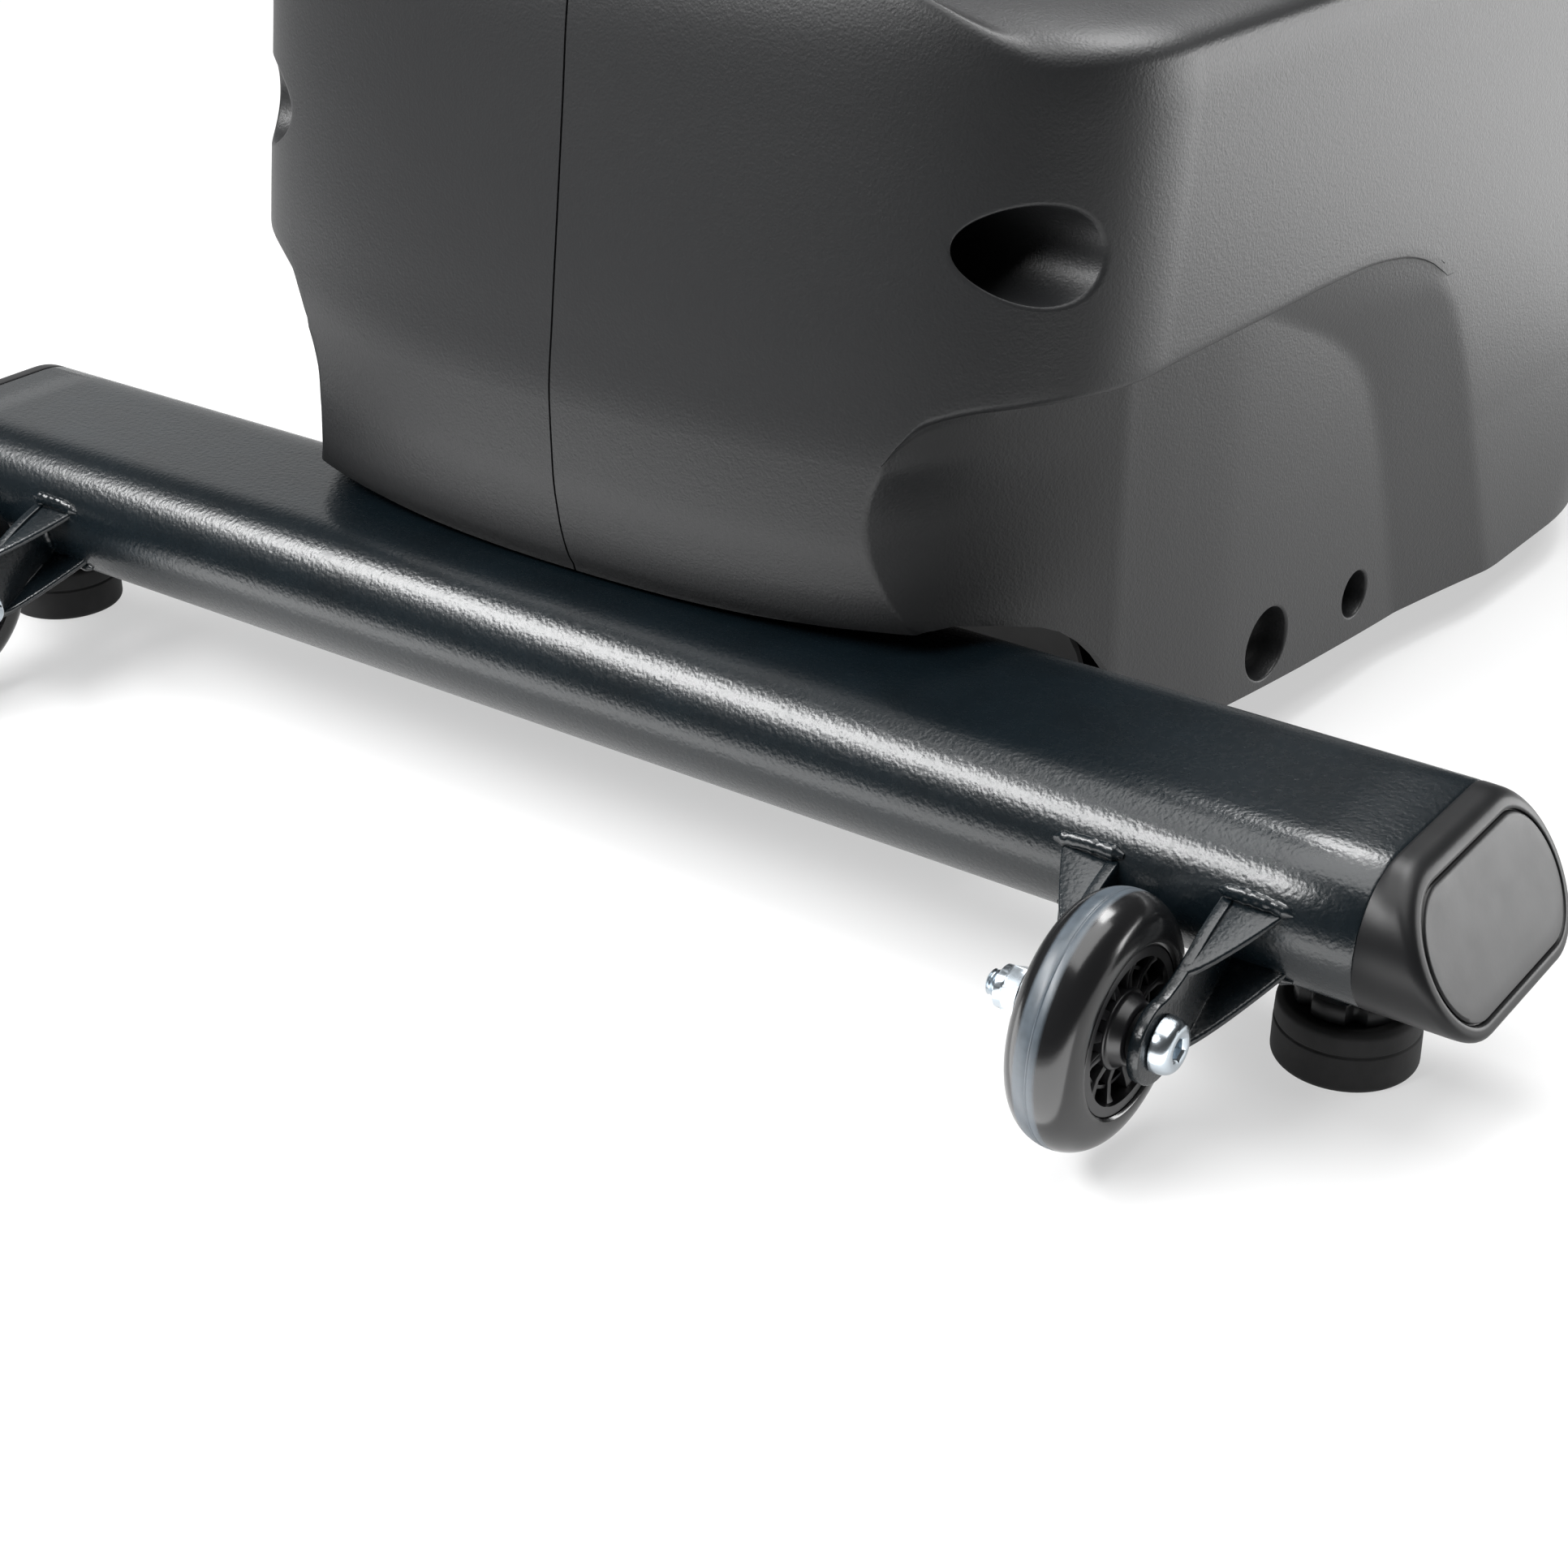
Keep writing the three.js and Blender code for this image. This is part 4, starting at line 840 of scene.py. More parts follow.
# ---------- casing ----------
def curve_through(points):
    """A smooth function through (input, value) points that never overshoots between them."""
    xs = [p[0] for p in points]
    ys = [p[1] for p in points]
    slopes = [(b - a) / (d - c) for a, b, c, d in zip(ys, ys[1:], xs, xs[1:])]
    tangents = [slopes[0]]
    for a, b in zip(slopes, slopes[1:]):
        tangents.append(0.0 if a * b <= 0 else 2 * a * b / (a + b))
    tangents.append(slopes[-1])

    def value(x):
        if x <= xs[0]:
            return ys[0] + tangents[0] * (x - xs[0])
        if x >= xs[-1]:
            return ys[-1] + tangents[-1] * (x - xs[-1])
        i = max(k for k in range(len(xs) - 1) if xs[k] <= x)
        h = xs[i + 1] - xs[i]
        t = (x - xs[i]) / h
        return (ys[i] * (1 + 2 * t) * (1 - t) ** 2 + tangents[i] * h * t * (1 - t) ** 2
                + ys[i + 1] * t * t * (3 - 2 * t) + tangents[i + 1] * h * t * t * (t - 1))

    return value


def smoothstep(value, start, end):
    t = max(0.0, min(1.0, (value - start) / (end - start)))
    return t * t * (3 - 2 * t)


def solve(function, target, low, high):
    """Where an increasing function reaches target."""
    for _ in range(40):
        middle = (low + high) / 2
        if function(middle) < target:
            low = middle
        else:
            high = middle
    return (low + high) / 2


CASING_HALF = 186.0
CASING_WALL = 3.0
CASING_SEAM = 0.4
CASING_FLOOR, CASING_TOP = 12.0, 692.0
# Side profile of the casing: its front edge, its rear edge and its half width by height.
FRONT_EDGE = curve_through([(12, -6), (94.4, -10.1), (102, -13.8), (115.6, -17.6), (135, -20), (160, -20.3),
                            (188, -17.1), (227, -11.7), (259, -7.3), (290, -3.1), (326, 8), (352, 16), (420, 40),
                            (520, 76), (600, 108), (650, 136), (682, 172), (692, 205)])
REAR_EDGE = curve_through([(12, 548), (94, 572), (150, 576), (192, 576), (286, 562), (304, 552), (352, 545),
                           (520, 532), (600, 508), (650, 472), (682, 424), (692, 390)])
HALF_WIDTH = curve_through([(12, 186), (270, 185.6), (284, 184.2), (288, 181.5), (291.5, 175), (296, 156),
                            (304, 118), (312, 96), (326, 81), (352, 70), (420, 63), (520, 61), (600, 58),
                            (650, 54), (682, 46), (692, 34)])


def outer_plan(t, z):
    """Point (x, y) of the casing's outside at height z; t runs 0 to 1 round the front corner, to 2 along
    the side and to 3 round the rear corner."""
    lift = 19.0 * (1 - smoothstep(t, 0.30, 0.66)) * smoothstep(z, 200, 290)
    w = HALF_WIDTH(z - lift)
    f, r = FRONT_EDGE(z), REAR_EDGE(z)
    scale = w / CASING_HALF
    corner = 86 * min(1.0, 0.35 + 0.65 * scale)
    rear_corner = 150 * min(1.0, 0.4 + 0.6 * scale)
    grow = 0.055 * scale * (r - f - corner - rear_corner)
    if t <= 1:
        points = ((0, f), (w * 0.699, f), (w, f + corner * 0.256), (w, f + corner))
        s = t
    elif t <= 2:
        s = t - 1
        return w + grow * s, f + corner + (r - rear_corner - f - corner) * s
    else:
        points = ((w + grow, r - rear_corner), (w + grow + 2, r - rear_corner * 0.35), (w * 0.62, r), (0, r))
        s = t - 2
    a, b, c, d = (1 - s) ** 3, 3 * s * (1 - s) ** 2, 3 * s * s * (1 - s), s ** 3
    return tuple(a * points[0][k] + b * points[1][k] + c * points[2][k] + d * points[3][k] for k in (0, 1))


def outer_at_y(y, z):
    """t of the casing's outside at y and z."""
    return solve(lambda t: outer_plan(t, z)[1], y, 0.0, 3.0)


def outer_x(y, z):
    return outer_plan(outer_at_y(y, z), z)[0]


# The scalloped recess: a crease down the casing's nose, a top edge, and a ramp back out to the side.
CREASE_X = curve_through([(12, 139), (80, 138), (100, 135), (109, 129), (119, 125), (130, 122), (142, 121), (152, 123),
                          (160, 126), (300, 126)])
TOP_EDGE = curve_through([(-8, 160), (-2, 168), (6, 174.5), (24, 180), (51, 183), (153, 184), (200, 184.5),
                          (228, 182), (250, 176), (268, 166)])
RAMP_FOOT = curve_through([(12, 275), (22, 271), (85, 249), (134, 226), (157, 197), (170, 168), (190, 120)])
RAMP_HEAD = curve_through([(12, 349), (26, 342), (149, 283), (166, 268), (190, 262)])
RECESS_FLOOR = curve_through([(77, 168), (110, 174), (144, 179), (210, 184), (271, 187.5), (350, 190)])
NOSE_END = Vector((168, 77))
NOSE_SHARE, RAMP_SHARE = 0.36, 0.80


def crease_t(z):
    return solve(lambda t: outer_plan(t, z)[0], CREASE_X(z), 0.0, 1.0)


def recess_plan(u, z):
    """Point (x, y) of the recess's floor; u runs from the crease (0) to where the ramp ends (1)."""
    if u <= NOSE_SHARE:
        s = u / NOSE_SHARE
        start = Vector(outer_plan(crease_t(z), z))
        p1 = start + Vector((13.0, 13.5))
        p2 = NOSE_END + Vector((-12.0, -36))
        q = start * (1 - s) ** 3 + p1 * 3 * s * (1 - s) ** 2 + p2 * 3 * s * s * (1 - s) + NOSE_END * s ** 3
        return q.x, q.y
    foot = RAMP_FOOT(z)
    if u <= RAMP_SHARE:
        y = NOSE_END.y + (foot - NOSE_END.y) * (u - NOSE_SHARE) / (RAMP_SHARE - NOSE_SHARE)
        return RECESS_FLOOR(y), y
    s = (u - RAMP_SHARE) / (1 - RAMP_SHARE)
    y = foot + (RAMP_HEAD(z) - foot) * s
    # Straight up the ramp, with a short round at its foot and head.
    short = 0.1
    if s < short:
        share = s * s / (2 * short * (1 - short))
    elif s > 1 - short:
        share = 1 - (1 - s) ** 2 / (2 * short * (1 - short))
    else:
        share = (s - short / 2) / (1 - short)
    return RECESS_FLOOR(y) + (outer_x(y, z) - RECESS_FLOOR(y)) * share, y


def recess_top(u):
    """Height of the recess's top edge above u."""
    z = 180.0
    for _ in range(24):
        z = TOP_EDGE(min(268.0, max(-8.0, recess_plan(u, z)[1])))
    return z


def nearest_t(x, y, z):
    """t of the point of the casing's outside nearest to (x, y) at height z."""
    best = min((i / 300 * 2.2 for i in range(301)),
               key=lambda t: (outer_plan(t, z)[0] - x) ** 2 + (outer_plan(t, z)[1] - y) ** 2)
    step = 0.004
    for _ in range(12):
        best = min((best - step, best, best + step),
                   key=lambda t: (outer_plan(t, z)[0] - x) ** 2 + (outer_plan(t, z)[1] - y) ** 2)
        step /= 1.6
    return best


def casing_column(kind, share):
    """Points (x, y, z) up one column of the casing's outside. kind is nose, recess or tail."""
    column = []
    if kind == "recess":
        top = recess_top(share)
        fx, fy = recess_plan(share, top)
        t = nearest_t(fx, fy, top)
        ox, oy = outer_plan(t, top)
        depth = math.hypot(ox - fx, oy - fy)
        soft = 3.0 + 9.0 * (1 - smoothstep(fy, 5, 70))
        round_in = max(0.3, min(soft, 0.46 * depth))
        round_out = max(0.3, min(3.6, 0.46 * depth))
    else:
        top = 160.0 if kind == "nose" else 166.0
        round_in = round_out = 0.3
        depth = 0.0
        if kind == "nose":
            t = crease_t(top) * share
        else:
            start = nearest_t(*recess_plan(1.0, top), top)
            t = start + (3.0 - start) * share
    low_rows = 46
    for i in range(low_rows):
        v = i / (low_rows - 1)
        z = CASING_FLOOR + (top - round_in - CASING_FLOOR) * v
        if kind == "recess":
            x, y = recess_plan(share, z)
        elif kind == "nose":
            x, y = outer_plan(crease_t(z) * share, z)
        else:
            start = outer_at_y(RAMP_HEAD(z), z)
            x, y = outer_plan(start + (3.0 - start) * share, z)
        column.append((x, y, z))
    fx, fy, _ = column[-1]
    ledge = []
    for i in range(1, 7):
        a = math.pi / 2 * i / 6
        ledge.append((round_in * (1 - math.cos(a)), -round_in * (1 - math.sin(a))))
    for i in range(7):
        a = math.pi / 2 * i / 6
        ledge.append((depth - round_out + round_out * math.sin(a), round_out * (1 - math.cos(a))))
    for reach, rise in ledge:
        k = reach / depth if depth > 0.02 else 0.0
        x1, y1 = outer_plan(t, top + rise)
        column.append((fx + (x1 - fx) * k, fy + (y1 - fy) * k, top + rise) if depth > 0.02 else (x1, y1, top + rise))
    start = top + round_out
    heights = [start + (282 - start) * (i / 26) for i in range(1, 27)]
    heights += [282 + 1.3 * i for i in range(1, 36)]
    last = heights[-1]
    heights += [last + (CASING_TOP - last) * (1 - (1 - i / 34) ** 1.25) for i in range(1, 35)]
    for z in heights:
        column.append((*outer_plan(t, z), z))
    # The top closes in a shallow dome.
    x, y, z = column[-1]
    for i in range(1, 6):
        a = math.pi / 2 * i / 5
        k = 1 - 0.86 * (1 - math.cos(a))
        mid = (FRONT_EDGE(CASING_TOP) + REAR_EDGE(CASING_TOP)) / 2
        column.append((x * k, mid + (y - mid) * k, z + 5.5 * math.sin(a)))
    return column


def casing_skin():
    """The outside of the casing's left half as columns of points."""
    nose = [i / 30 for i in range(31)]
    nose = [n + 0.12 * math.sin(math.pi * n) for n in nose]
    columns = [casing_column("nose", s) for s in nose[:-1]]
    columns += [casing_column("recess", i / 100) for i in range(101)]
    columns += [casing_column("tail", (i / 40) ** 1.1) for i in range(1, 41)]
    return columns


def tool(bm):
    """A hidden object made from bm, for cutting."""
    bmesh.ops.recalc_face_normals(bm, faces=bm.faces)
    mesh = bpy.data.meshes.new("cutter")
    bm.to_mesh(mesh)
    bm.free()
    return linked("cutter", mesh)


def cut(target, cutters):
    """Takes the cutters out of target, and removes them."""
    for cutter in cutters:
        modifier = target.modifiers.new("cut", "BOOLEAN")
        modifier.operation, modifier.solver, modifier.object = "DIFFERENCE", "EXACT", cutter
    applied(target)
    for cutter in cutters:
        bpy.data.objects.remove(cutter)
    return target


def lower_cut():
    """The casing's underside: an arch over the front tube, then a nearly level lower edge."""
    outline = [(-120, -20), (-120, 94.6), (-30, 94.6), (-10.1, 94.4)]
    outline += [(-2, 99.5), (6, 101.8), (14, 102.2), (27, 99.4), (45, 94), (56, 88.6), (64, 82.4), (70, 76), (75, 69),
                (79, 61), (82, 52), (84, 42), (88, 35.6), (95, 33.2), (110, 32)]
    outline += [(144, 30), (200, 26), (271, 22), (350, 20.5), (420, 23), (480, 28), (545, 42), (620, 66), (620, -20)]
    return outline


POCKET = Vector((165, 23, 229))
POCKET_RADIUS = 15.4
PANEL_HOLES = ((172, 46, 14.3, 13.0), (239, 43, 9.4, 11.0))


def rim(bm, side, surface_x, y0, z0, radius, lip, depth):
    """A round recess whose lip rolls smoothly out of the casing's surface."""
    sides = 64
    rows = []
    for i in range(7):
        a = math.pi / 2 * i / 6
        r = radius + lip * (1 - math.sin(a))
        row = []
        for k in range(sides):
            b = 2 * math.pi * k / sides
            y, z = y0 + r * math.cos(b), z0 + r * math.sin(b)
            row.append(at(side * (surface_x(y, z) - lip * (1 - math.cos(a))), y, z))
        rows.append(row)
    deep = surface_x(y0, z0) - depth
    for share, inset in ((0.12, 0.1), (0.5, 0.3), (0.94, 0.5), (1.0, 1.4)):
        row = []
        for k in range(sides):
            b = 2 * math.pi * k / sides
            y, z = y0 + radius * math.cos(b), z0 + radius * math.sin(b)
            x = surface_x(y, z) - lip
            y, z = y0 + (radius - inset) * math.cos(b), z0 + (radius - inset) * math.sin(b)
            row.append(at(side * (x + (deep - x) * share), y, z))
        rows.append(row)
    made = grid(bm, rows, close_u=True)
    bm.faces.new(made[-1])


def recess_x(y, _):
    """Half width of the recess's floor at y."""
    return RECESS_FLOOR(y)


# Round holes in the casing's side: surface, y, z, radius, lip and depth.
CASING_HOLES = [(outer_x, POCKET.y, POCKET.z, POCKET_RADIUS, 1.5, 42.0)]
CASING_HOLES += [(recess_x, y, z, r, 1.1, deep) for y, z, r, deep in PANEL_HOLES]


def casing_mesh():
    """The left half of the casing as a hollow shell with its openings cut."""
    columns = casing_skin()
    bm = bmesh.new()
    grid(bm, [[at(max(x, CASING_SEAM), y, z) for x, y, z in column] for column in columns])
    low, high = (local(p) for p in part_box("main_beam"))
    slot = [f for f in bm.faces if f.calc_center_median().x < (high.x + 2) * MM
            and local(f.calc_center_median()).y > 450 and low.z - 3 < f.calc_center_median().z / MM < high.z + 3]
    bmesh.ops.delete(bm, geom=slot, context="FACES")
    bm.normal_update()
    bm.faces.ensure_lookup_table()
    probe = min(bm.faces, key=lambda f: (f.calc_center_median() - at(190, 200, 240)).length)
    if probe.normal.x < 0:
        bmesh.ops.reverse_faces(bm, faces=bm.faces)
    mesh = bpy.data.meshes.new("casing")
    bm.to_mesh(mesh)
    bm.free()
    shell = linked("casing", mesh)
    wall = shell.modifiers.new("wall", "SOLIDIFY")
    wall.thickness, wall.offset, wall.use_even_offset = CASING_WALL * MM, -1, False
    applied(shell)
    cutters = [tool(plate(bmesh.new(), lower_cut(), -5, 300))]
    for _, y, z, radius, lip, _ in CASING_HOLES:
        profile = [(0, 0.0), (radius + lip, 0.0), (radius + lip, 130.0), (0, 130.0)]
        cutters.append(tool(lathe(profile, Vector((90, y, z)), "X", 64)))
    crank = local(centre("crank_spindle"))
    cutters.append(tool(lathe([(0, 0.0), (14.5, 0.0), (14.5, 90.0), (0, 90.0)], Vector((25, crank.y, crank.z)),
                              "X", 48)))
    cutters.append(tool(mast_bar(1.2)))
    cut(shell, cutters)
    made = shell.data.copy()
    bpy.data.objects.remove(shell)
    return made


def casing_half(word, side, mesh):
    """One half of the casing, with the rims of its holes and the screw in the largest one on its panel."""
    bm = bmesh.new()
    bm.from_mesh(mesh)
    if side < 0:
        for v in bm.verts:
            v.co.x *= -1
    piece(f"casing_{word}_shell", bm, "casing", "frame", [f"casing_{word}"], 40)

    cups = bmesh.new()
    for surface_x, y, z, radius, lip, deep in CASING_HOLES:
        rim(cups, side, surface_x, y, z, radius, lip, deep)
    piece(f"casing_{word}_hole_rims", cups, "casing", "frame", (), 50)
    y, z, _, deep = PANEL_HOLES[0]
    boss = [(0.0, -deep - 1), (6.2, -deep - 1), (5.8, -deep + 2.6), (5.2, -deep + 3.0), (2.6, -deep + 3.0),
            (2.3, -deep + 2.6), (2.3, -deep - 0.2), (0.0, -deep - 0.2)]
    piece(f"casing_{word}_screw_boss", lathe([(r, side * p) for r, p in boss], Vector((side * RECESS_FLOOR(y), y, z)),
                                             "X", 40), "casing", "frame", (), 40)
    screw = [(0.0, 0.0), (2.1, 0.0), (2.1, 0.9), (1.5, 1.3), (0.9, 1.35), (0.8, 0.6), (0.0, 0.6)]
    piece(f"casing_{word}_screw", lathe([(r, side * p) for r, p in screw],
                                        Vector((side * (RECESS_FLOOR(y) - deep), y, z)), "X", 24),
          "zinc_steel", "frame", (), 40)


def arch_liners():
    """Dark walls inside the casing that follow its arch over the front tube, either side of the beam."""
    high = local(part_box("main_beam")[1])
    path = [(40, 99.4), (58, 91.6), (67, 85), (74, 77.6), (79.6, 69.6), (83.8, 61), (86.6, 51), (88.6, 42),
            (93, 38), (110, 36.5)]
    inner = [(y + 1.6, z + 2.0) for y, z in path]
    for word, side in SIDES:
        a, b = sorted((side * (high.x + 1.0), side * 152.0))
        bm = plate(bmesh.new(), path + inner[::-1], a, b)
        piece(f"arch_liner_{word}", bm, "liner", "frame", (), 40)
        bm = plate(bmesh.new(), [(108, 36.5), (470, 44), (470, 46), (108, 38.5)], a, b)
        piece(f"under_tray_{word}", bm, "liner", "frame", (), 40)


# ---------- mast ----------
MAST_FOOT, MAST_HEAD = Vector((0, 6, 166)), Vector((0, 331, 1123))
MAST_WIDTH, MAST_DEPTH = 70.0, 42.0


def mast_ring(grow, share, arc=10):
    """A ring round the mast's rounded section, a share of the way up it."""
    foot = MAST_FOOT.lerp(MAST_HEAD, share)
    up = (MAST_HEAD - MAST_FOOT).normalized()
    back = Vector((0, up.z, -up.y))
    radius = MAST_DEPTH / 2 - 2 + grow
    half_w, half_d = MAST_WIDTH / 2 + grow - radius, MAST_DEPTH / 2 + grow - radius
    ring = []
    for k, (sx, sd) in enumerate(((1, 1), (-1, 1), (-1, -1), (1, -1))):
        for i in range(arc + 1):
            a = math.pi / 2 * (k + i / arc)
            ring.append(foot + Vector((1, 0, 0)) * (sx * half_w + radius * math.cos(a))
                        + back * (sd * half_d + radius * math.sin(a)))
    return ring


def mast_bar(grow, arc=10):
    """The mast as a bar from foot to head, grown by that many millimetres."""
    bm = bmesh.new()
    rows = [[at(*p) for p in mast_ring(grow, share, arc)] for share in (0.0, 1.0)]
    made = grid(bm, rows, close_u=True)
    close_ends(bm, made)
    return bm


def round_ended(radius, share=0.06):
    """Radius along a bar whose ends close in a dome over a share of its length."""
    def size(t):
        near = min(t, 1 - t)
        if near >= share:
            return radius
        k = 1 - near / share
        return radius * max(0.12, math.sqrt(max(0.0, 1 - k * k)))
    return size


def rounded_rect(width, height, radius, arc=10):
    """Points (a, b) round a rectangle with rounded corners, anticlockwise."""
    ring = []
    for k, (sa, sb) in enumerate(((1, 1), (-1, 1), (-1, -1), (1, -1))):
        for i in range(arc + 1):
            a = math.pi / 2 * (k + i / arc)
            ring.append((sa * (width / 2 - radius) + radius * math.cos(a),
                         sb * (height / 2 - radius) + radius * math.sin(a)))
    return ring


def slab(bm, width, height, radius, layers, place, ends=(True, True)):
    """Stacks rounded rectangles: layers of (inset, position), and place turns (a, b, position) to a point."""
    rows = []
    for inset, position in layers:
        ring = rounded_rect(width - 2 * inset, height - 2 * inset, max(0.6, radius - inset))
        rows.append([place(a, b, position) for a, b in ring])
    made = grid(bm, rows, close_u=True)
    for wanted, end in zip(ends, (made[0], made[-1])):
        if wanted:
            bm.faces.new(end)
    return made


def pillow(low, high, round_low, round_high, steps=6):
    """Layers of a slab from low to high with rounded edges."""
    layers = []
    for i in range(steps + 1):
        a = math.pi / 2 * i / steps
        layers.append((round_low * (1 - math.sin(a)), low + round_low * (1 - math.cos(a))))
    for i in range(steps + 1):
        a = math.pi / 2 * i / steps
        layers.append((round_high * (1 - math.cos(a)), high - round_high * (1 - math.sin(a))))
    return layers


# ---------- mast, handlebar and console ----------
BAR_RADIUS, BAR_Z, BAR_HALF, BAR_BACK = 13.0, 1045.0, 225.0, 160.0
GRIP_START = 0.62  # share of each arm of the bar where its grip begins


def bar_y():
    """Where the mast's middle is at the handlebar's height."""
    share = (BAR_Z - MAST_FOOT.z) / (MAST_HEAD.z - MAST_FOOT.z)
    return MAST_FOOT.y + (MAST_HEAD.y - MAST_FOOT.y) * share


def mast():
    """The mast, its boot, and the covers round the cranks' holes in the casing."""
    piece("mast_tube", mast_bar(0.0, 14), "powder_coat", "frame", ["console_mast"], 45)
    refined("mast_boot", "casing", 3.0, 40, 25)
    crank = local(centre("crank_spindle"))
    for word, side in SIDES:
        at_x = outer_x(crank.y, crank.z)
        cover = [(15.0, -1.5), (15.0, 2.2), (16.2, 3.4), (40.0, 3.0), (43.0, 1.4), (43.6, -1.5)]
        ring = [(r, side * p) for r, p in rounded_profile(cover, 1.4, 4)]
        piece(f"crank_cover_{word}", lathe(ring, Vector((side * at_x, crank.y, crank.z)), "X", 96, True), "cap",
              "frame", (), 40)


def handlebar():
    y = bar_y()
    reach = [(40, y, BAR_Z), (120, y + 2, BAR_Z + 2), (BAR_HALF - 18, y + 26, BAR_Z + 18),
             (BAR_HALF, y + 70, BAR_Z + 46), (BAR_HALF + 2, y + BAR_BACK, BAR_Z + 110)]
    points = [Vector((-p[0], p[1], p[2])) for p in reversed(reach)] + [Vector(p) for p in reach]
    piece("front_bar", sweep(points, BAR_RADIUS, 28, 12), "powder_coat", "frame", ["front_handlebar"], 45)
    for word, side in SIDES:
        line = smooth_line([(side * p[0], p[1], p[2]) for p in reach])
        line = line[int(GRIP_START * (len(line) - 1)):]
        tip = line[-1] + (line[-1] - line[-3]).normalized() * 17
        grip = sweep(line + [tip], round_ended(18.5, 0.045), 36, 3)
        piece(f"front_grip_{word}_foam", grip, "foam", "frame", [f"front_grip_{word}"], 60)
        clamp = rounded_profile([(15.4, -8.0), (19.5, -8.0), (19.5, 8.0), (15.4, 8.0)], 1.2, 3)
        piece(f"bar_collar_{word}", lathe(clamp, Vector((side * 44, y, BAR_Z)), "X", 48, True), "cap", "frame",
              (), 40)


CONSOLE = Vector((0, 352, 1168))
CONSOLE_TILT = math.radians(38)
CONSOLE_WIDTH, CONSOLE_HEIGHT = 360, 232
WINDOW_WIDTH, WINDOW_HEIGHT = 254, 128
SCREEN_AT, BUTTON_AT = 30.0, -70.0
MARK_LAYERS = ((0.0, 21.15), (0.0, 21.3))


def on_console(a, b, out):
    """A point on the console: a across, b up its face, out towards the rider."""
    c, s = math.cos(CONSOLE_TILT), math.sin(CONSOLE_TILT)
    return at(CONSOLE.x + a, CONSOLE.y + out * c - b * s, CONSOLE.z + out * s + b * c)


def console_face():
    """Front shell: a rounded edge, a flat surround, and a step down to the glass."""
    bm = bmesh.new()
    made = slab(bm, CONSOLE_WIDTH, CONSOLE_HEIGHT, 30, pillow(8.5, 23.0, 0.8, 9.0), on_console, (True, False))
    outline = rounded_rect(CONSOLE_WIDTH - 18, CONSOLE_HEIGHT - 18, 21)
    window = rounded_rect(WINDOW_WIDTH, WINDOW_HEIGHT, 10)
    rows = []
    for share in (0.0, 0.35, 0.7, 1.0):
        row = []
        for (a, b), (c, d) in zip(outline, window):
            row.append(on_console(a + (c - a) * share, b + (d + SCREEN_AT - b) * share, 23.0))
        rows.append(row)
    for inset, out in ((0.5, 22.7), (1.2, 21.9), (2.0, 17.0)):
        ring = rounded_rect(WINDOW_WIDTH - 2 * inset, WINDOW_HEIGHT - 2 * inset, 10 - inset)
        rows.append([on_console(c, d + SCREEN_AT, out) for c, d in ring])
    inner = grid(bm, rows, close_u=True)
    bm.faces.new(inner[-1])
    bmesh.ops.remove_doubles(bm, verts=[v for row in (made[-1], inner[0]) for v in row], dist=MERGE)
    piece("console_bezel", bm, "casing", "frame", ["console_front"], 40)


def console_back():
    """Rear shell with its neck to the mast and two rows of vents."""
    bm = bmesh.new()
    slab(bm, CONSOLE_WIDTH - 8, CONSOLE_HEIGHT - 8, 28, pillow(-23.0, 8.2, 16.0, 0.5, 8), on_console)
    neck = ((118, 92, 20, -18), (118, 92, 20, -38), (114, 88, 18, -42.5), (106, 80, 14, -45))
    rows = [[on_console(a, b - 44, out) for a, b in rounded_rect(w, h, r)] for w, h, r, out in neck]
    loops = grid(bm, rows, close_u=True)
    close_ends(bm, loops)
    piece("console_back_shell", bm, "casing", "frame", ["console_back"], 40)
    vents = bmesh.new()
    for side in (-1, 1):
        for i in range(7):
            def place(a, b, out, i=i, side=side):
                return on_console(side * 112 + a, 52 - 9 * i + b, out)
            slab(vents, 62, 3.4, 1.6, [(0.0, -23.35), (0.4, -23.6)], place)
    piece("console_vents", vents, "hub", "frame", (), 40)


def digit(bm, left, low, size, lit):
    """A seven-segment digit from thin bars."""
    w, h, t = size * 0.5, size, size * 0.085
    bars = {"a": (w / 2, h, w - t, t), "g": (w / 2, h / 2, w - t, t), "d": (w / 2, 0, w - t, t),
            "f": (0, h * 0.75, t, h / 2 - t), "b": (w, h * 0.75, t, h / 2 - t),
            "e": (0, h * 0.25, t, h / 2 - t), "c": (w, h * 0.25, t, h / 2 - t)}
    for key in lit:
        x, z, bw, bh = bars[key]

        def place(a, b, out, x=x, z=z):
            return on_console(left + x + a, low + z + b, out)
        slab(bm, bw, bh, t * 0.4, MARK_LAYERS, place)


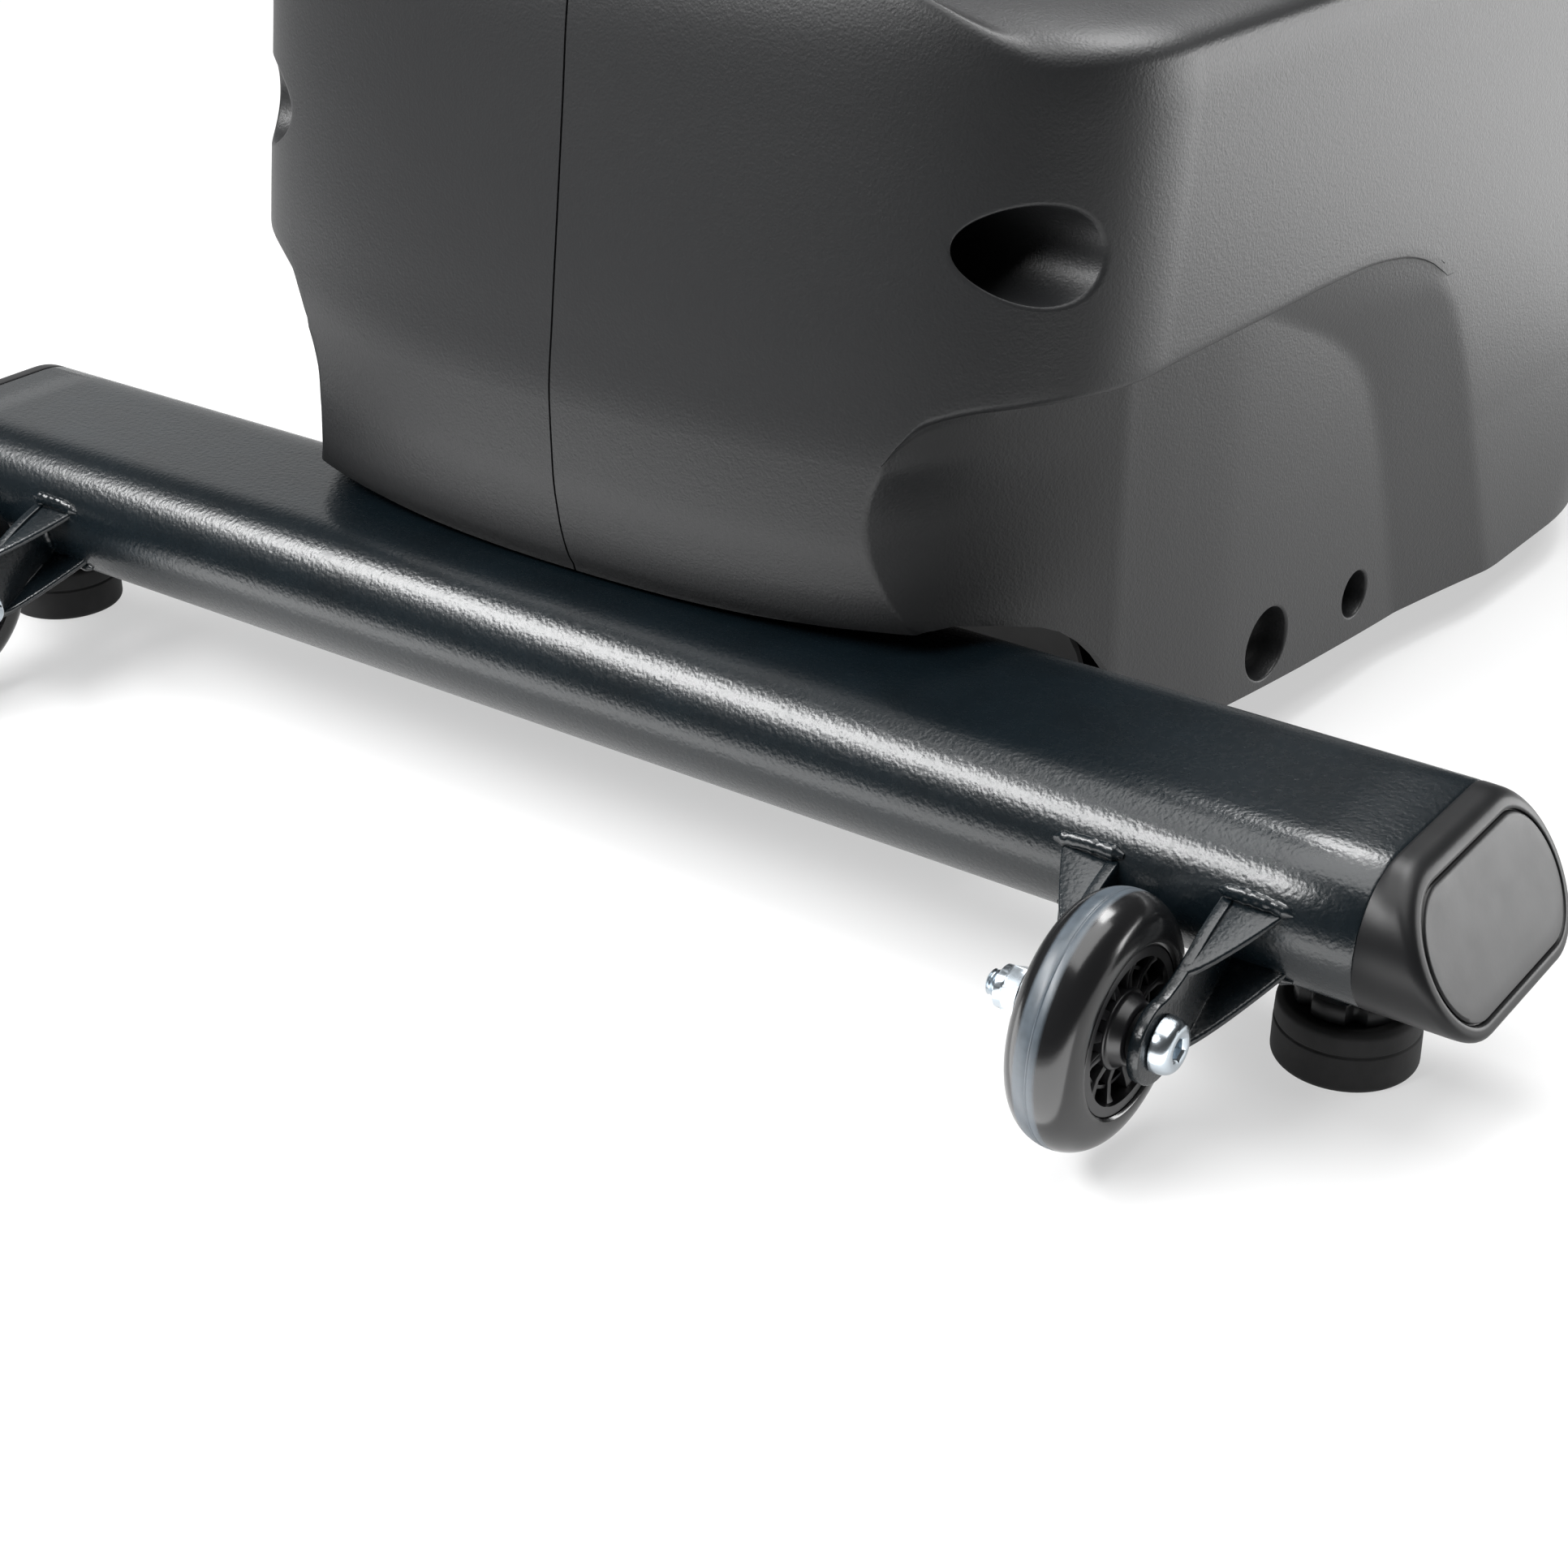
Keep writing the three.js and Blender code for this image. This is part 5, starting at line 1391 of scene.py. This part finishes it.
def console_display():
    """The glass, with a bar chart, a row of zeros and a colon behind it."""
    bm = bmesh.new()

    def pane(a, b, out):
        return on_console(a, b + SCREEN_AT, out)
    slab(bm, WINDOW_WIDTH - 5, WINDOW_HEIGHT - 5, 8, pillow(16.6, 21.1, 0.3, 0.5, 3), pane)
    piece("console_glass", bm, "glass", "frame", ["console_screen"], 40)
    marks = bmesh.new()
    for column in range(14):
        height = 2 + round(4.5 + 3.5 * math.sin(column * 0.62))
        for row in range(min(height, 9)):
            def place(a, b, out, column=column, row=row):
                return on_console(-56 + 8.6 * column + a, SCREEN_AT - 8 + 6.2 * row + b, out)
            slab(marks, 7.0, 4.4, 0.8, MARK_LAYERS, place)
    for left in (-104, -88, -66, -50, 28, 44, 60, 82, 98):
        digit(marks, left, SCREEN_AT - 48, 20.0, "abcdef")
    for low in (SCREEN_AT - 43, SCREEN_AT - 33):
        def dot(a, b, out, low=low):
            return on_console(-71.5 + a, low + b, out)
        slab(marks, 2.2, 2.2, 1.0, MARK_LAYERS, dot)
    piece("display_marks", marks, "segment", "frame", (), 0)


def console_buttons():
    """Three domed push buttons, each in a raised ring."""
    for word, across in (("up", -70), ("start", 0), ("down", 70)):
        def ring(radius, out, across=across):
            return [on_console(across + radius * math.cos(a), BUTTON_AT + radius * math.sin(a), out)
                    for a in (2 * math.pi * i / 48 for i in range(48))]
        bm = bmesh.new()
        dome = [(0.0, 20.2), (12.6, 20.2), (12.8, 23.4), (12.3, 24.6), (11.2, 25.3), (8.0, 25.5), (2.0, 25.2),
                (0.0, 25.2)]
        rows = [ring(max(r, 0.05), out) for r, out in dome]
        grid(bm, rows, close_u=True)
        piece(f"button_{word}_cap", bm, "cap", f"button_{word}", [f"console_button_{word}"], 50)
        surround = bmesh.new()
        grid(surround, [ring(r, out) for r, out in ((13.3, 22.0), (13.4, 23.9), (14.2, 24.4), (15.6, 24.0),
                                                      (16.2, 22.6))], close_u=True, close_v=True)
        piece(f"button_{word}_ring", surround, "casing", "frame", (), 50)


# ---------- drive ----------
CRANK_LENGTH, CRANK_ANGLE = 170, math.radians(160)
CRANK_Y, CRANK_Z = 330, 545


def crank_end(side):
    """Where the pedal's axle is."""
    angle = CRANK_ANGLE + (0 if side > 0 else math.pi)
    return Vector((0, CRANK_Y + CRANK_LENGTH * math.cos(angle), CRANK_Z + CRANK_LENGTH * math.sin(angle)))


def drive():
    """The pieces inside the casing keep the frame's outlines, with turned faces made round."""
    crank = local(centre("crank_spindle"))
    wheel = local(centre("flywheel_axle"))
    origin, hub_at = Vector((0, crank.y, crank.z)), Vector((0, wheel.y, wheel.z))
    pulley = [(8.8, 26), (24, 26), (24, 30), (113, 30), (113, 26), (125, 26), (125, 40), (113, 40), (113, 34),
              (24, 34), (24, 40), (8.8, 40)]
    piece("drive_pulley_disc", lathe(rounded_profile(pulley, 0.8, 2), origin, "X", 120, True), "cast_iron", "crank",
          ["drive_pulley"])
    spindle = [(0, -88), (7.6, -88), (8.5, -87), (8.5, 87), (7.6, 88), (0, 88)]
    piece("crank_spindle_bar", lathe(spindle, origin, "X", 48), "zinc_steel", "crank", ["crank_spindle"])
    for word, x0, x1 in (("left", 12.3, 22.0), ("right", -34.0, -24.3)):
        ring = rounded_profile([(8.8, x0), (17.2, x0), (17.2, x1), (8.8, x1)], 0.6, 2)
        piece(f"crank_bearing_{word}_ring", lathe(ring, origin, "X", 48, True), "zinc_steel", "frame",
              [f"crank_bearing_{word}"])
    disc = [(8.1, -48), (30, -48), (30, -40), (88, -40), (88, -50), (110, -50), (110, -15), (88, -15), (88, -26),
            (30, -26), (24, 25), (19, 25), (19, 40), (8.1, 40)]
    piece("flywheel_disc", lathe(rounded_profile(disc, 1.0, 2), hub_at, "X", 120, True), "cast_iron", "flywheel",
          ["flywheel"])
    axle = [(0, -70), (6.8, -70), (7.5, -69), (7.5, 59), (6.8, 60), (0, 60)]
    piece("flywheel_axle_bar", lathe(axle, hub_at, "X", 32), "zinc_steel", "frame", ["flywheel_axle"])
    refined("crank_support", "powder_coat", 1.2)
    refined("brake_arm", "alloy", 0.8)
    refined("drive_belt", "rubber", 0.4)


def cranks():
    """Crank arms with their end bolts, and the pedals."""
    crank = local(centre("crank_spindle"))
    for word, side in SIDES:
        refined(f"crank_arm_{word}", "alloy", 2.6, 40, 40)
        bolt = [(0.0, 0.0), (11.5, 0.0), (11.5, 2.4), (10.4, 3.6), (6.6, 3.9), (6.0, 2.2), (0.0, 2.0)]
        piece(f"crank_bolt_{word}", lathe([(r, side * (90.2 + p)) for r, p in rounded_profile(bolt, 0.7, 3)],
                                          Vector((0, crank.y, crank.z)), "X", 48), "zinc_steel", "crank", (), 40)
        pedal(word, side)


def pedal(word, side):
    """A wide foot platform with raised treads, end walls and a strap over it."""
    end = crank_end(side)
    mid_x = side * 150.0

    def place(a, b, out):
        return at(mid_x + a, end.y + b, end.z + out)
    bm = bmesh.new()
    slab(bm, 100, 104, 14, pillow(-19.5, 4.0, 4.0, 1.6), place)
    for k in range(7):
        def bar(a, b, out, k=k):
            return place(a, -39 + 13 * k + b, out)
        slab(bm, 78, 5.2, 1.6, pillow(3.6, 6.7, 0.3, 1.0, 3), bar)
    piece(f"pedal_{word}_platform", bm, "hub", f"pedal_{word}", [f"pedal_{word}"], 40)
    lip = bmesh.new()
    outer = rounded_rect(100, 104, 14)
    inner = rounded_rect(92, 96, 11)
    rows = [[place(a, b, out) for a, b in ring] for ring, out in
            ((outer, 3.0), (outer, 6.0), (rounded_rect(98.6, 102.6, 13.4), 7.0), (rounded_rect(93, 97, 11.4), 7.0),
             (inner, 6.2), (inner, 3.0))]
    grid(lip, rows, close_u=True, close_v=True)
    piece(f"pedal_{word}_lip", lip, "cap", f"pedal_{word}", (), 40)
    band = bmesh.new()
    rows = []
    steps = 48
    r_out, h_out, r_in, h_in = 56.0, 66.0, 53.2, 63.2
    for i in range(steps + 1):
        a = math.pi * (i / steps)
        wide = 17.0 - 3.5 * math.sin(a) ** 6
        row = []
        for r, h, y in ((r_out, h_out, -wide + 1), (r_out, h_out, wide - 1), (r_out - 0.8, h_out - 0.8, wide),
                        (r_in + 0.8, h_in + 0.8, wide), (r_in, h_in, wide - 1), (r_in, h_in, -wide + 1),
                        (r_in + 0.8, h_in + 0.8, -wide), (r_out - 0.8, h_out - 0.8, -wide)):
            row.append(at(mid_x + r * math.cos(a), end.y - 25 + y, end.z - 6 + h * math.sin(a)))
        rows.append(row)
    made = grid(band, rows, close_u=True)
    close_ends(band, made)
    for k in range(6):
        a = math.radians(20 + 7 * k)
        centre_x, centre_z = mid_x + 56.4 * math.cos(a), end.z - 6 + 66.4 * math.sin(a)
        ball = bmesh.new()
        bmesh.ops.create_uvsphere(ball, u_segments=12, v_segments=8, radius=1.9 * MM)
        mesh = bpy.data.meshes.new("stud")
        bmesh.ops.translate(ball, verts=ball.verts, vec=at(centre_x, end.y - 25, centre_z))
        ball.to_mesh(mesh)
        ball.free()
        band.from_mesh(mesh)
    piece(f"pedal_{word}_strap", band, "rubber", f"pedal_{word}", [f"pedal_strap_{word}"], 45)


# ---------- beam, rail, carriage and seat frame ----------
RAIL_FOOT = Vector((0, 700, 352))
RAIL_SLOPE = math.radians(12)
RAIL_LENGTH = 752 / math.cos(RAIL_SLOPE)
CARRIAGE_Y = 1110.0
SEAT_Y, SEAT_Z = 1056.0, 597.0


def on_rail(x, along, up):
    """A point by the rail: x across, along its slope from its foot, up from its middle line."""
    c, s = math.cos(RAIL_SLOPE), math.sin(RAIL_SLOPE)
    return at(x, RAIL_FOOT.y + along * c - up * s, RAIL_FOOT.z + along * s + up * c)


def rail_height(y):
    return RAIL_FOOT.z + (y - RAIL_FOOT.y) * math.tan(RAIL_SLOPE)


def hex_bolt(name, place, radius, height, body="frame"):
    """A hexagon head on a round washer; place turns (a, b, out) to a point."""
    bm = bmesh.new()
    rows = []
    for r, corner, out in ((0.0, 0, 0.0), (radius * 1.45, 0, 0.0), (radius * 1.45, 0, 1.4), (radius * 1.05, 0, 1.6),
                           (radius, 1, 1.8), (radius, 1, height - 0.8), (radius * 0.88, 0.3, height), (0.0, 0, height)):
        row = []
        for i in range(36):
            a = 2 * math.pi * i / 36
            size = max(0.02, r * (1 - corner) + min(r, hexagon_reach(radius, a)) * corner)
            row.append(place(size * math.cos(a), size * math.sin(a), out))
        rows.append(row)
    made = grid(bm, rows, close_u=True)
    close_ends(bm, made)
    return piece(name, bm, "zinc_steel", body, (), 32)


def beam_and_rail():
    """Main beam and its plug, the rail and its end covers, the rail's posts and their bolts."""
    refined("main_beam", "powder_coat", 5.0, 40, 40)
    low, high = (local(p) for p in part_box("main_beam"))

    def plug(a, b, out):
        return at(a, high.y + out, (low.z + high.z) / 2 + b)
    bm = bmesh.new()
    slab(bm, 60, 70, 5, pillow(0.1, 5.5, 0.3, 2.2, 4), plug)
    piece("beam_plug", bm, "cap", "frame", (), 40)
    refined("seat_rail", "alloy", 1.0, 38, 40)
    for label, start, end in (("front", -6.0, -0.1), ("rear", RAIL_LENGTH + 0.1, RAIL_LENGTH + 6.0)):
        bm = bmesh.new()

        def cover(a, b, out):
            return on_rail(a, out, b)
        first, second = (2.2, 0.3) if label == "front" else (0.3, 2.2)
        slab(bm, 77, 43, 5, pillow(start, end, first, second, 4), cover)
        piece(f"rail_cover_{label}", bm, "cap", "frame", (), 40)
    refined("rail_support", "powder_coat", 3.0, 40, 40)
    for x in (-17, 17):
        for y in (RAIL_FOOT.y + 18, REAR_Y - 18):
            def place(a, b, out, x=x, y=y):
                return at(x + a, y + b, high.z + 8.4 + out)
            hex_bolt(f"rail_bolt_{int(x)}_{int(y)}", place, 6.5, 6.5)


def carriage():
    """The sliding carriage with its roller bolts and lock lever."""
    refined("seat_carriage", "powder_coat", 2.4, 40, 40)
    along = (CARRIAGE_Y - RAIL_FOOT.y) / math.cos(RAIL_SLOPE)
    for word, side in SIDES:
        for shift in (-58, 58):
            def place(a, b, out, side=side, shift=shift):
                return on_rail(side * (47.2 + out), along + shift + a, b)
            hex_bolt(f"roller_bolt_{word}_{'front' if shift < 0 else 'rear'}", place, 6.5, 6.0, "seat")
    z = rail_height(CARRIAGE_Y) + 31
    y = CARRIAGE_Y - 40
    route = [(57, y, z), (110, y - 40, z + 4), (190, y - 70, z + 8), (238, y - 74, z + 8)]
    bm = sweep(route, 6.2, 20, 14)
    lathe(rounded_profile([(0, 48), (9, 48), (9, 66), (0, 66)], 1.2, 3), Vector((0, y, z)), "X", 40, False, bm)
    piece("lever_bar", bm, "powder_coat", "seat_lever", ["seat_lever"], 40)
    knob = [(0, 200), (7.5, 200), (9.0, 204), (9.6, 215), (11.0, 240), (10.0, 247), (6.0, 250), (0, 250.6)]
    piece("lever_knob", lathe(rounded_profile(knob, 3.0, 4), Vector((0, y - 74, z + 8)), "X", 48), "rubber",
          "seat_lever", (), 50)


def seat_frame():
    """Seat plate, back uprights, and the bar that ends in the side grips."""
    base = rail_height(CARRIAGE_Y) + 62.3
    r = 14.0
    bm = bmesh.new()

    def plate_at(a, b, out):
        return at(a, SEAT_Y + 12.5 + b, out)
    slab(bm, 240, 325, 12, pillow(base, base + 8, 1.5, 1.5, 3), plate_at)
    for side in (-1, 1):
        upright = [(side * 90, SEAT_Y - 60, base + r), (side * 95, SEAT_Y + 120, base + r),
                   (side * 100, SEAT_Y + 212, base + r + 12), (side * 105, SEAT_Y + 240, base + 110),
                   (side * 105, 1310 + 97, 882 + 100)]
        sweep(upright, round_ended(r, 0.02), 24, 16, bm)
    half = [(120, SEAT_Y + 150, base + r - 2), (250, SEAT_Y + 160, base + 18), (298, SEAT_Y + 120, base + 60),
            (302, SEAT_Y + 20, base + 112), (302, SEAT_Y - 96, base + 128)]
    loop = [(-x, y, z) for x, y, z in reversed(half)] + half
    sweep(loop, r - 1, 24, 14, bm)
    piece("seat_tubes", bm, "powder_coat", "seat", ["seat_frame"], 45)
    for word, side in SIDES:
        start = Vector((side * 302, SEAT_Y + 14, base + 113.0))
        end = Vector((side * 302, SEAT_Y - 104, base + 129.0))
        grip = sweep([start.lerp(end, t) for t in (0, 0.3, 0.6, 0.9, 1.0)], round_ended(19.0, 0.05), 36, 8)
        piece(f"side_grip_{word}_foam", grip, "foam", "seat", [f"side_grip_{word}"], 60)


# ---------- cushions ----------
SIM_FRAMES = 18
SWELL = 24.0  # the most a point may move, in millimetres
CALM_ROUNDS = 60


def swollen(node, pinned, inset):
    """Inflates the node's own shape as cloth: the surface bulges between the pinned seams."""
    source = frame["nodes"][node]
    bm = bmesh.new()
    bm.from_mesh(source.data)
    bmesh.ops.remove_doubles(bm, verts=bm.verts, dist=MERGE)
    bm.normal_update()
    for v in bm.verts:
        v.co -= v.normal * inset * MM
    mesh = bpy.data.meshes.new(node + "_cover")
    bm.to_mesh(mesh)
    bm.free()
    cover = linked(node + "_cover", mesh)
    remesh = cover.modifiers.new("even", "REMESH")
    remesh.mode, remesh.voxel_size = "VOXEL", 0.0055
    applied(cover)
    soften = cover.modifiers.new("soften", "SMOOTH")
    soften.factor, soften.iterations = 0.5, 6
    applied(cover)
    held = cover.vertex_groups.new(name="held")
    for v in cover.data.vertices:
        weight = pinned(local(v.co))
        if weight > 0:
            held.add([v.index], weight, "REPLACE")
    rest = [v.co.copy() for v in cover.data.vertices]
    cloth = cover.modifiers.new("cloth", "CLOTH")
    settings = cloth.settings
    settings.quality, settings.mass = 5, 0.25
    settings.tension_stiffness = settings.compression_stiffness = 12
    settings.shear_stiffness, settings.bending_stiffness = 10, 6
    settings.use_pressure, settings.uniform_pressure_force = True, 4.0
    settings.vertex_group_mass = "held"
    settings.shrink_min = -0.006
    settings.effector_weights.gravity = 0
    cloth.collision_settings.use_self_collision = False
    cloth.point_cache.frame_start, cloth.point_cache.frame_end = 1, SIM_FRAMES
    scene = bpy.context.scene
    for number in range(1, SIM_FRAMES + 1):
        scene.frame_set(number)
    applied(cover)
    scene.frame_set(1)
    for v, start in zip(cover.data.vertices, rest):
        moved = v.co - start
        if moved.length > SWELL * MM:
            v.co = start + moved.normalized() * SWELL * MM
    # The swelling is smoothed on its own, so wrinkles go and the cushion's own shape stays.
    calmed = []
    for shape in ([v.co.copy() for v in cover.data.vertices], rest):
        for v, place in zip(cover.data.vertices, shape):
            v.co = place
        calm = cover.modifiers.new("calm", "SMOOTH")
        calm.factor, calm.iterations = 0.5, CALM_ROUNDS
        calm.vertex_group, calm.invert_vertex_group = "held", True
        applied(cover)
        calmed.append([v.co.copy() for v in cover.data.vertices])
    for v, start, swollen_place, flat_place in zip(cover.data.vertices, rest, *calmed):
        v.co = start + swollen_place - flat_place
    cover.vertex_groups.clear()
    finer = cover.modifiers.new("finer", "SUBSURF")
    finer.levels = finer.render_levels = 1
    applied(cover)
    return cover


def on_skin(tree, points, lift):
    """The nearest points of a skin, lifted off it."""
    out = []
    for p in points:
        hit, normal, _, _ = tree.find_nearest(at(*p))
        out.append(local(hit + normal * lift * MM))
    return out


def closed_sweep(points, radius):
    """A closed cord along points in millimetres."""
    sides = 12
    bm = bmesh.new()
    rows = []
    count = len(points)
    for i, p in enumerate(points):
        along = (points[(i + 1) % count] - points[i - 1]).normalized()
        normal = Vector((0, 0, 1)) if abs(along.z) < 0.8 else Vector((0, 1, 0))
        normal = (normal - along * normal.dot(along)).normalized()
        across = along.cross(normal)
        rows.append([at(*(p + normal * (radius * math.cos(a)) + across * (radius * math.sin(a))))
                     for a in (2 * math.pi * k / sides for k in range(sides))])
    grid(bm, rows, close_u=True, close_v=True)
    return bm


def smoothed_loop(points):
    """A closed line of points with its kinks taken out."""
    for _ in range(3):
        count = len(points)
        points = [(points[i - 1] + points[i] * 2 + points[(i + 1) % count]) / 4 for i in range(count)]
    return points


def cushion(node, place, unplace, width, height, radius, face_out, channels):
    """A cushion with a piped edge round its face, a stitched centre panel and stitched cross channels.
    place turns (a, b, out) to millimetres, and unplace turns them back."""
    panel_w, panel_h, panel_r = width - 110, height - 90, radius * 0.55

    def panel_gap(a, b):
        """How far (a, b) lies inside the panel's outline, in millimetres."""
        x, y = abs(a) - (panel_w / 2 - panel_r), abs(b) - (panel_h / 2 - panel_r)
        outside = math.hypot(max(x, 0), max(y, 0)) + min(max(x, y), 0)
        return panel_r - outside

    def pinned(p):
        """1 where the skin is sewn down or rests on its board, else 0."""
        a, b, out = unplace(p)
        if out < -face_out * 0.62:
            return 1.0
        if out < face_out * 0.3:
            return 0.0
        edge = abs(panel_gap(a, b))
        if edge < 5.0:
            return 1.0
        if panel_gap(a, b) > 0 and any(abs(b - c) < 3.6 for c in channels):
            return 1.0
        return 0.0

    cover = swollen(node, pinned, 7.0)
    cover.data.materials.clear()
    for key in ("vinyl", "vinyl_panel"):
        cover.data.materials.append(LOOK[key])
    for f in cover.data.polygons:
        a, b, out = unplace(local(f.center))
        f.material_index = int(out > face_out * 0.3 and panel_gap(a, b) > 0)
    settle(cover, "vinyl", "seat", [node], 0, ["vinyl_panel"])
    cover.data.shade_smooth()

    skin = BVHTree.FromObject(cover, bpy.context.evaluated_depsgraph_get())
    ring = rounded_rect(width - 15, height - 15, radius - 7, 16)
    dense = []
    for i, (a, b) in enumerate(ring):
        c, d = ring[(i + 1) % len(ring)]
        count = max(1, int(math.hypot(c - a, d - b) / 6))
        dense += [(a + (c - a) * k / count, b + (d - b) * k / count) for k in range(count)]
    for label, out in (("face", face_out * 0.52), ("back", -face_out * 0.62)):
        path = on_skin(skin, [place(a * 1.03, b * 1.03, out) for a, b in dense], 0.6)
        piece(f"{node}_{label}_piping", closed_sweep(smoothed_loop(path), 2.9), "vinyl", "seat", (), 60)
    stitches = bmesh.new()
    lines = []
    outline = rounded_rect(panel_w + 9, panel_h + 9, panel_r + 4, 12)
    outline.append(outline[0])
    lines.append(outline)
    for c in channels:
        lines.append([(-panel_w / 2 + 3, c), (panel_w / 2 - 3, c)])
    for line in lines:
        for (a, b), (c, d) in zip(line, line[1:]):
            length = math.hypot(c - a, d - b)
            count = max(1, int(length / 5.2))
            for k in range(count):
                t0, t1 = (k + 0.16) / count, (k + 0.84) / count
                ends = [place(a + (c - a) * t, b + (d - b) * t, face_out * 1.1) for t in (t0, (t0 + t1) / 2, t1)]
                sweep(on_skin(skin, ends, 0.35), 0.55, 6, 2, stitches)
    piece(f"{node}_stitching", stitches, "thread", "seat", (), 60)


def cushions():
    """The seat and back cushions, each with a map from (a, b, out) on it to the frame and back."""
    tilt = math.radians(-4)
    lean = math.radians(-20)
    back_at = Vector((0, 1310, 882))

    def on_seat(a, b, out):
        c, s = math.cos(tilt), math.sin(tilt)
        return Vector((a, SEAT_Y + b * c - out * s, SEAT_Z + b * s + out * c))

    def from_seat(p):
        c, s = math.cos(tilt), math.sin(tilt)
        y, z = p.y - SEAT_Y, p.z - SEAT_Z
        return p.x, y * c + z * s, -y * s + z * c

    def on_back(a, b, out):
        c, s = math.cos(lean), math.sin(lean)
        return Vector((a, back_at.y - out * c - b * s, back_at.z - out * s + b * c))

    def from_back(p):
        c, s = math.cos(lean), math.sin(lean)
        y, z = p.y - back_at.y, p.z - back_at.z
        return p.x, -y * s + z * c, -(y * c + z * s)

    cushion("seat_cushion", on_seat, from_seat, 430, 390, 60, 39.0, (-50, 50))
    cushion("back_cushion", on_back, from_back, 410, 500, 70, 37.0, (-105, 0, 105))


# ---------- camera, floor and light ----------
def camera():
    data = bpy.data.cameras.new("camera")
    data.lens, data.sensor_width = 62.4, 36.0
    data.clip_start, data.clip_end = 0.02, 60
    made = linked("camera", data)
    made.location = at(572.0, -679.75, 479.6)
    made.rotation_euler = (math.radians(90 - 28.2), 0, math.radians(35.73))
    bpy.context.scene.camera = made


def area_light(name, place, target, size, power):
    """A soft box at place that faces target, both in at()'s millimetres. The camera doesn't see it."""
    data = bpy.data.lights.new(name, "AREA")
    data.shape, data.size, data.size_y = "RECTANGLE", size[0], size[1]
    data.energy = power
    made = linked(name, data)
    made.location = at(*place)
    made.rotation_euler = (at(*target) - made.location).to_track_quat("-Z", "Y").to_euler()
    made.visible_camera = False


def stage():
    """A pale floor that fades into a pale world, and the studio lights."""
    bpy.ops.mesh.primitive_plane_add(size=30, location=(0, 0, 0))
    floor = bpy.context.object
    floor.name = "floor"
    n = Nodes("pale_floor")
    colour = n.colours(n.noise(0.7, 2.0), (0.33, 0.33, 0.33), (0.35, 0.35, 0.35))
    floor.data.materials.append(n.finish(colour, n.spread(n.noise(3, 2.0), 0.88, 0.95), None,
                                         Specular_IOR_Level=0.1, Emission_Color=(1, 1, 1, 1),
                                         Emission_Strength=0.54))
    world = bpy.data.worlds.new("studio")
    world.use_nodes = True
    sky = world.node_tree.nodes["Background"]
    sky.inputs["Color"].default_value = (1.0, 1.0, 1.0, 1)
    seen = world.node_tree.nodes.new("ShaderNodeLightPath")
    strength = world.node_tree.nodes.new("ShaderNodeMapRange")
    strength.inputs["To Min"].default_value = 0.07
    strength.inputs["To Max"].default_value = 0.8
    world.node_tree.links.new(seen.outputs["Is Camera Ray"], strength.inputs["Value"])
    world.node_tree.links.new(strength.outputs["Result"], sky.inputs["Strength"])
    bpy.context.scene.world = world
    bpy.context.scene.view_settings.view_transform = "Standard"
    # Black cloth on the studio floor in front: it keeps the casing's front dark, and shows only in reflections.
    sheet = bpy.data.meshes.new("black_cloth")
    sheet.from_pydata([at(-3000, -3200, 1), at(3000, -3200, 1), at(3000, -430, 1), at(-3000, -430, 1)], [],
                      [(0, 1, 2, 3)])
    cloth = linked("black_cloth", sheet)
    sheet.materials.append(LOOK["liner"])
    cloth.visible_camera = cloth.visible_shadow = False
    # A long softbox high in front on the right draws the bright line along the tube's rounded front.
    area_light("key", (-640, -860, 1190), (110, -40, 90), (1.60, 0.44), 52)
    area_light("top", (300, 260, 2600), (150, 260, 0), (2.6, 2.6), 98)
    area_light("left_side", (1450, 1550, 230), (150, 300, 150), (1.3, 0.4), 20)
    area_light("shoulder", (150, 430, 830), (150, 60, 295), (0.50, 0.26), 7.0)
    area_light("rear_right", (-2180, 1416, 800), (-250, 0, 93), (1.6, 1.3), 4.8)
    # Low lights on the floor stand for the bounce from a white sweep.
    area_light("floor_front", (-150, -215, 2), (-150, -215, 100), (1.9, 0.16), 2.6)
    area_light("floor_left", (640, 1400, 2), (640, 1400, 100), (0.7, 1.4), 11.5)


camera()
stage()
stabilizers()
wheels()
shell_mesh = casing_mesh()
for word, side in SIDES:
    casing_half(word, side, shell_mesh)
arch_liners()
mast()
handlebar()
console_face()
console_back()
console_display()
console_buttons()
drive()
cranks()
beam_and_rail()
carriage()
seat_frame()
cushions()
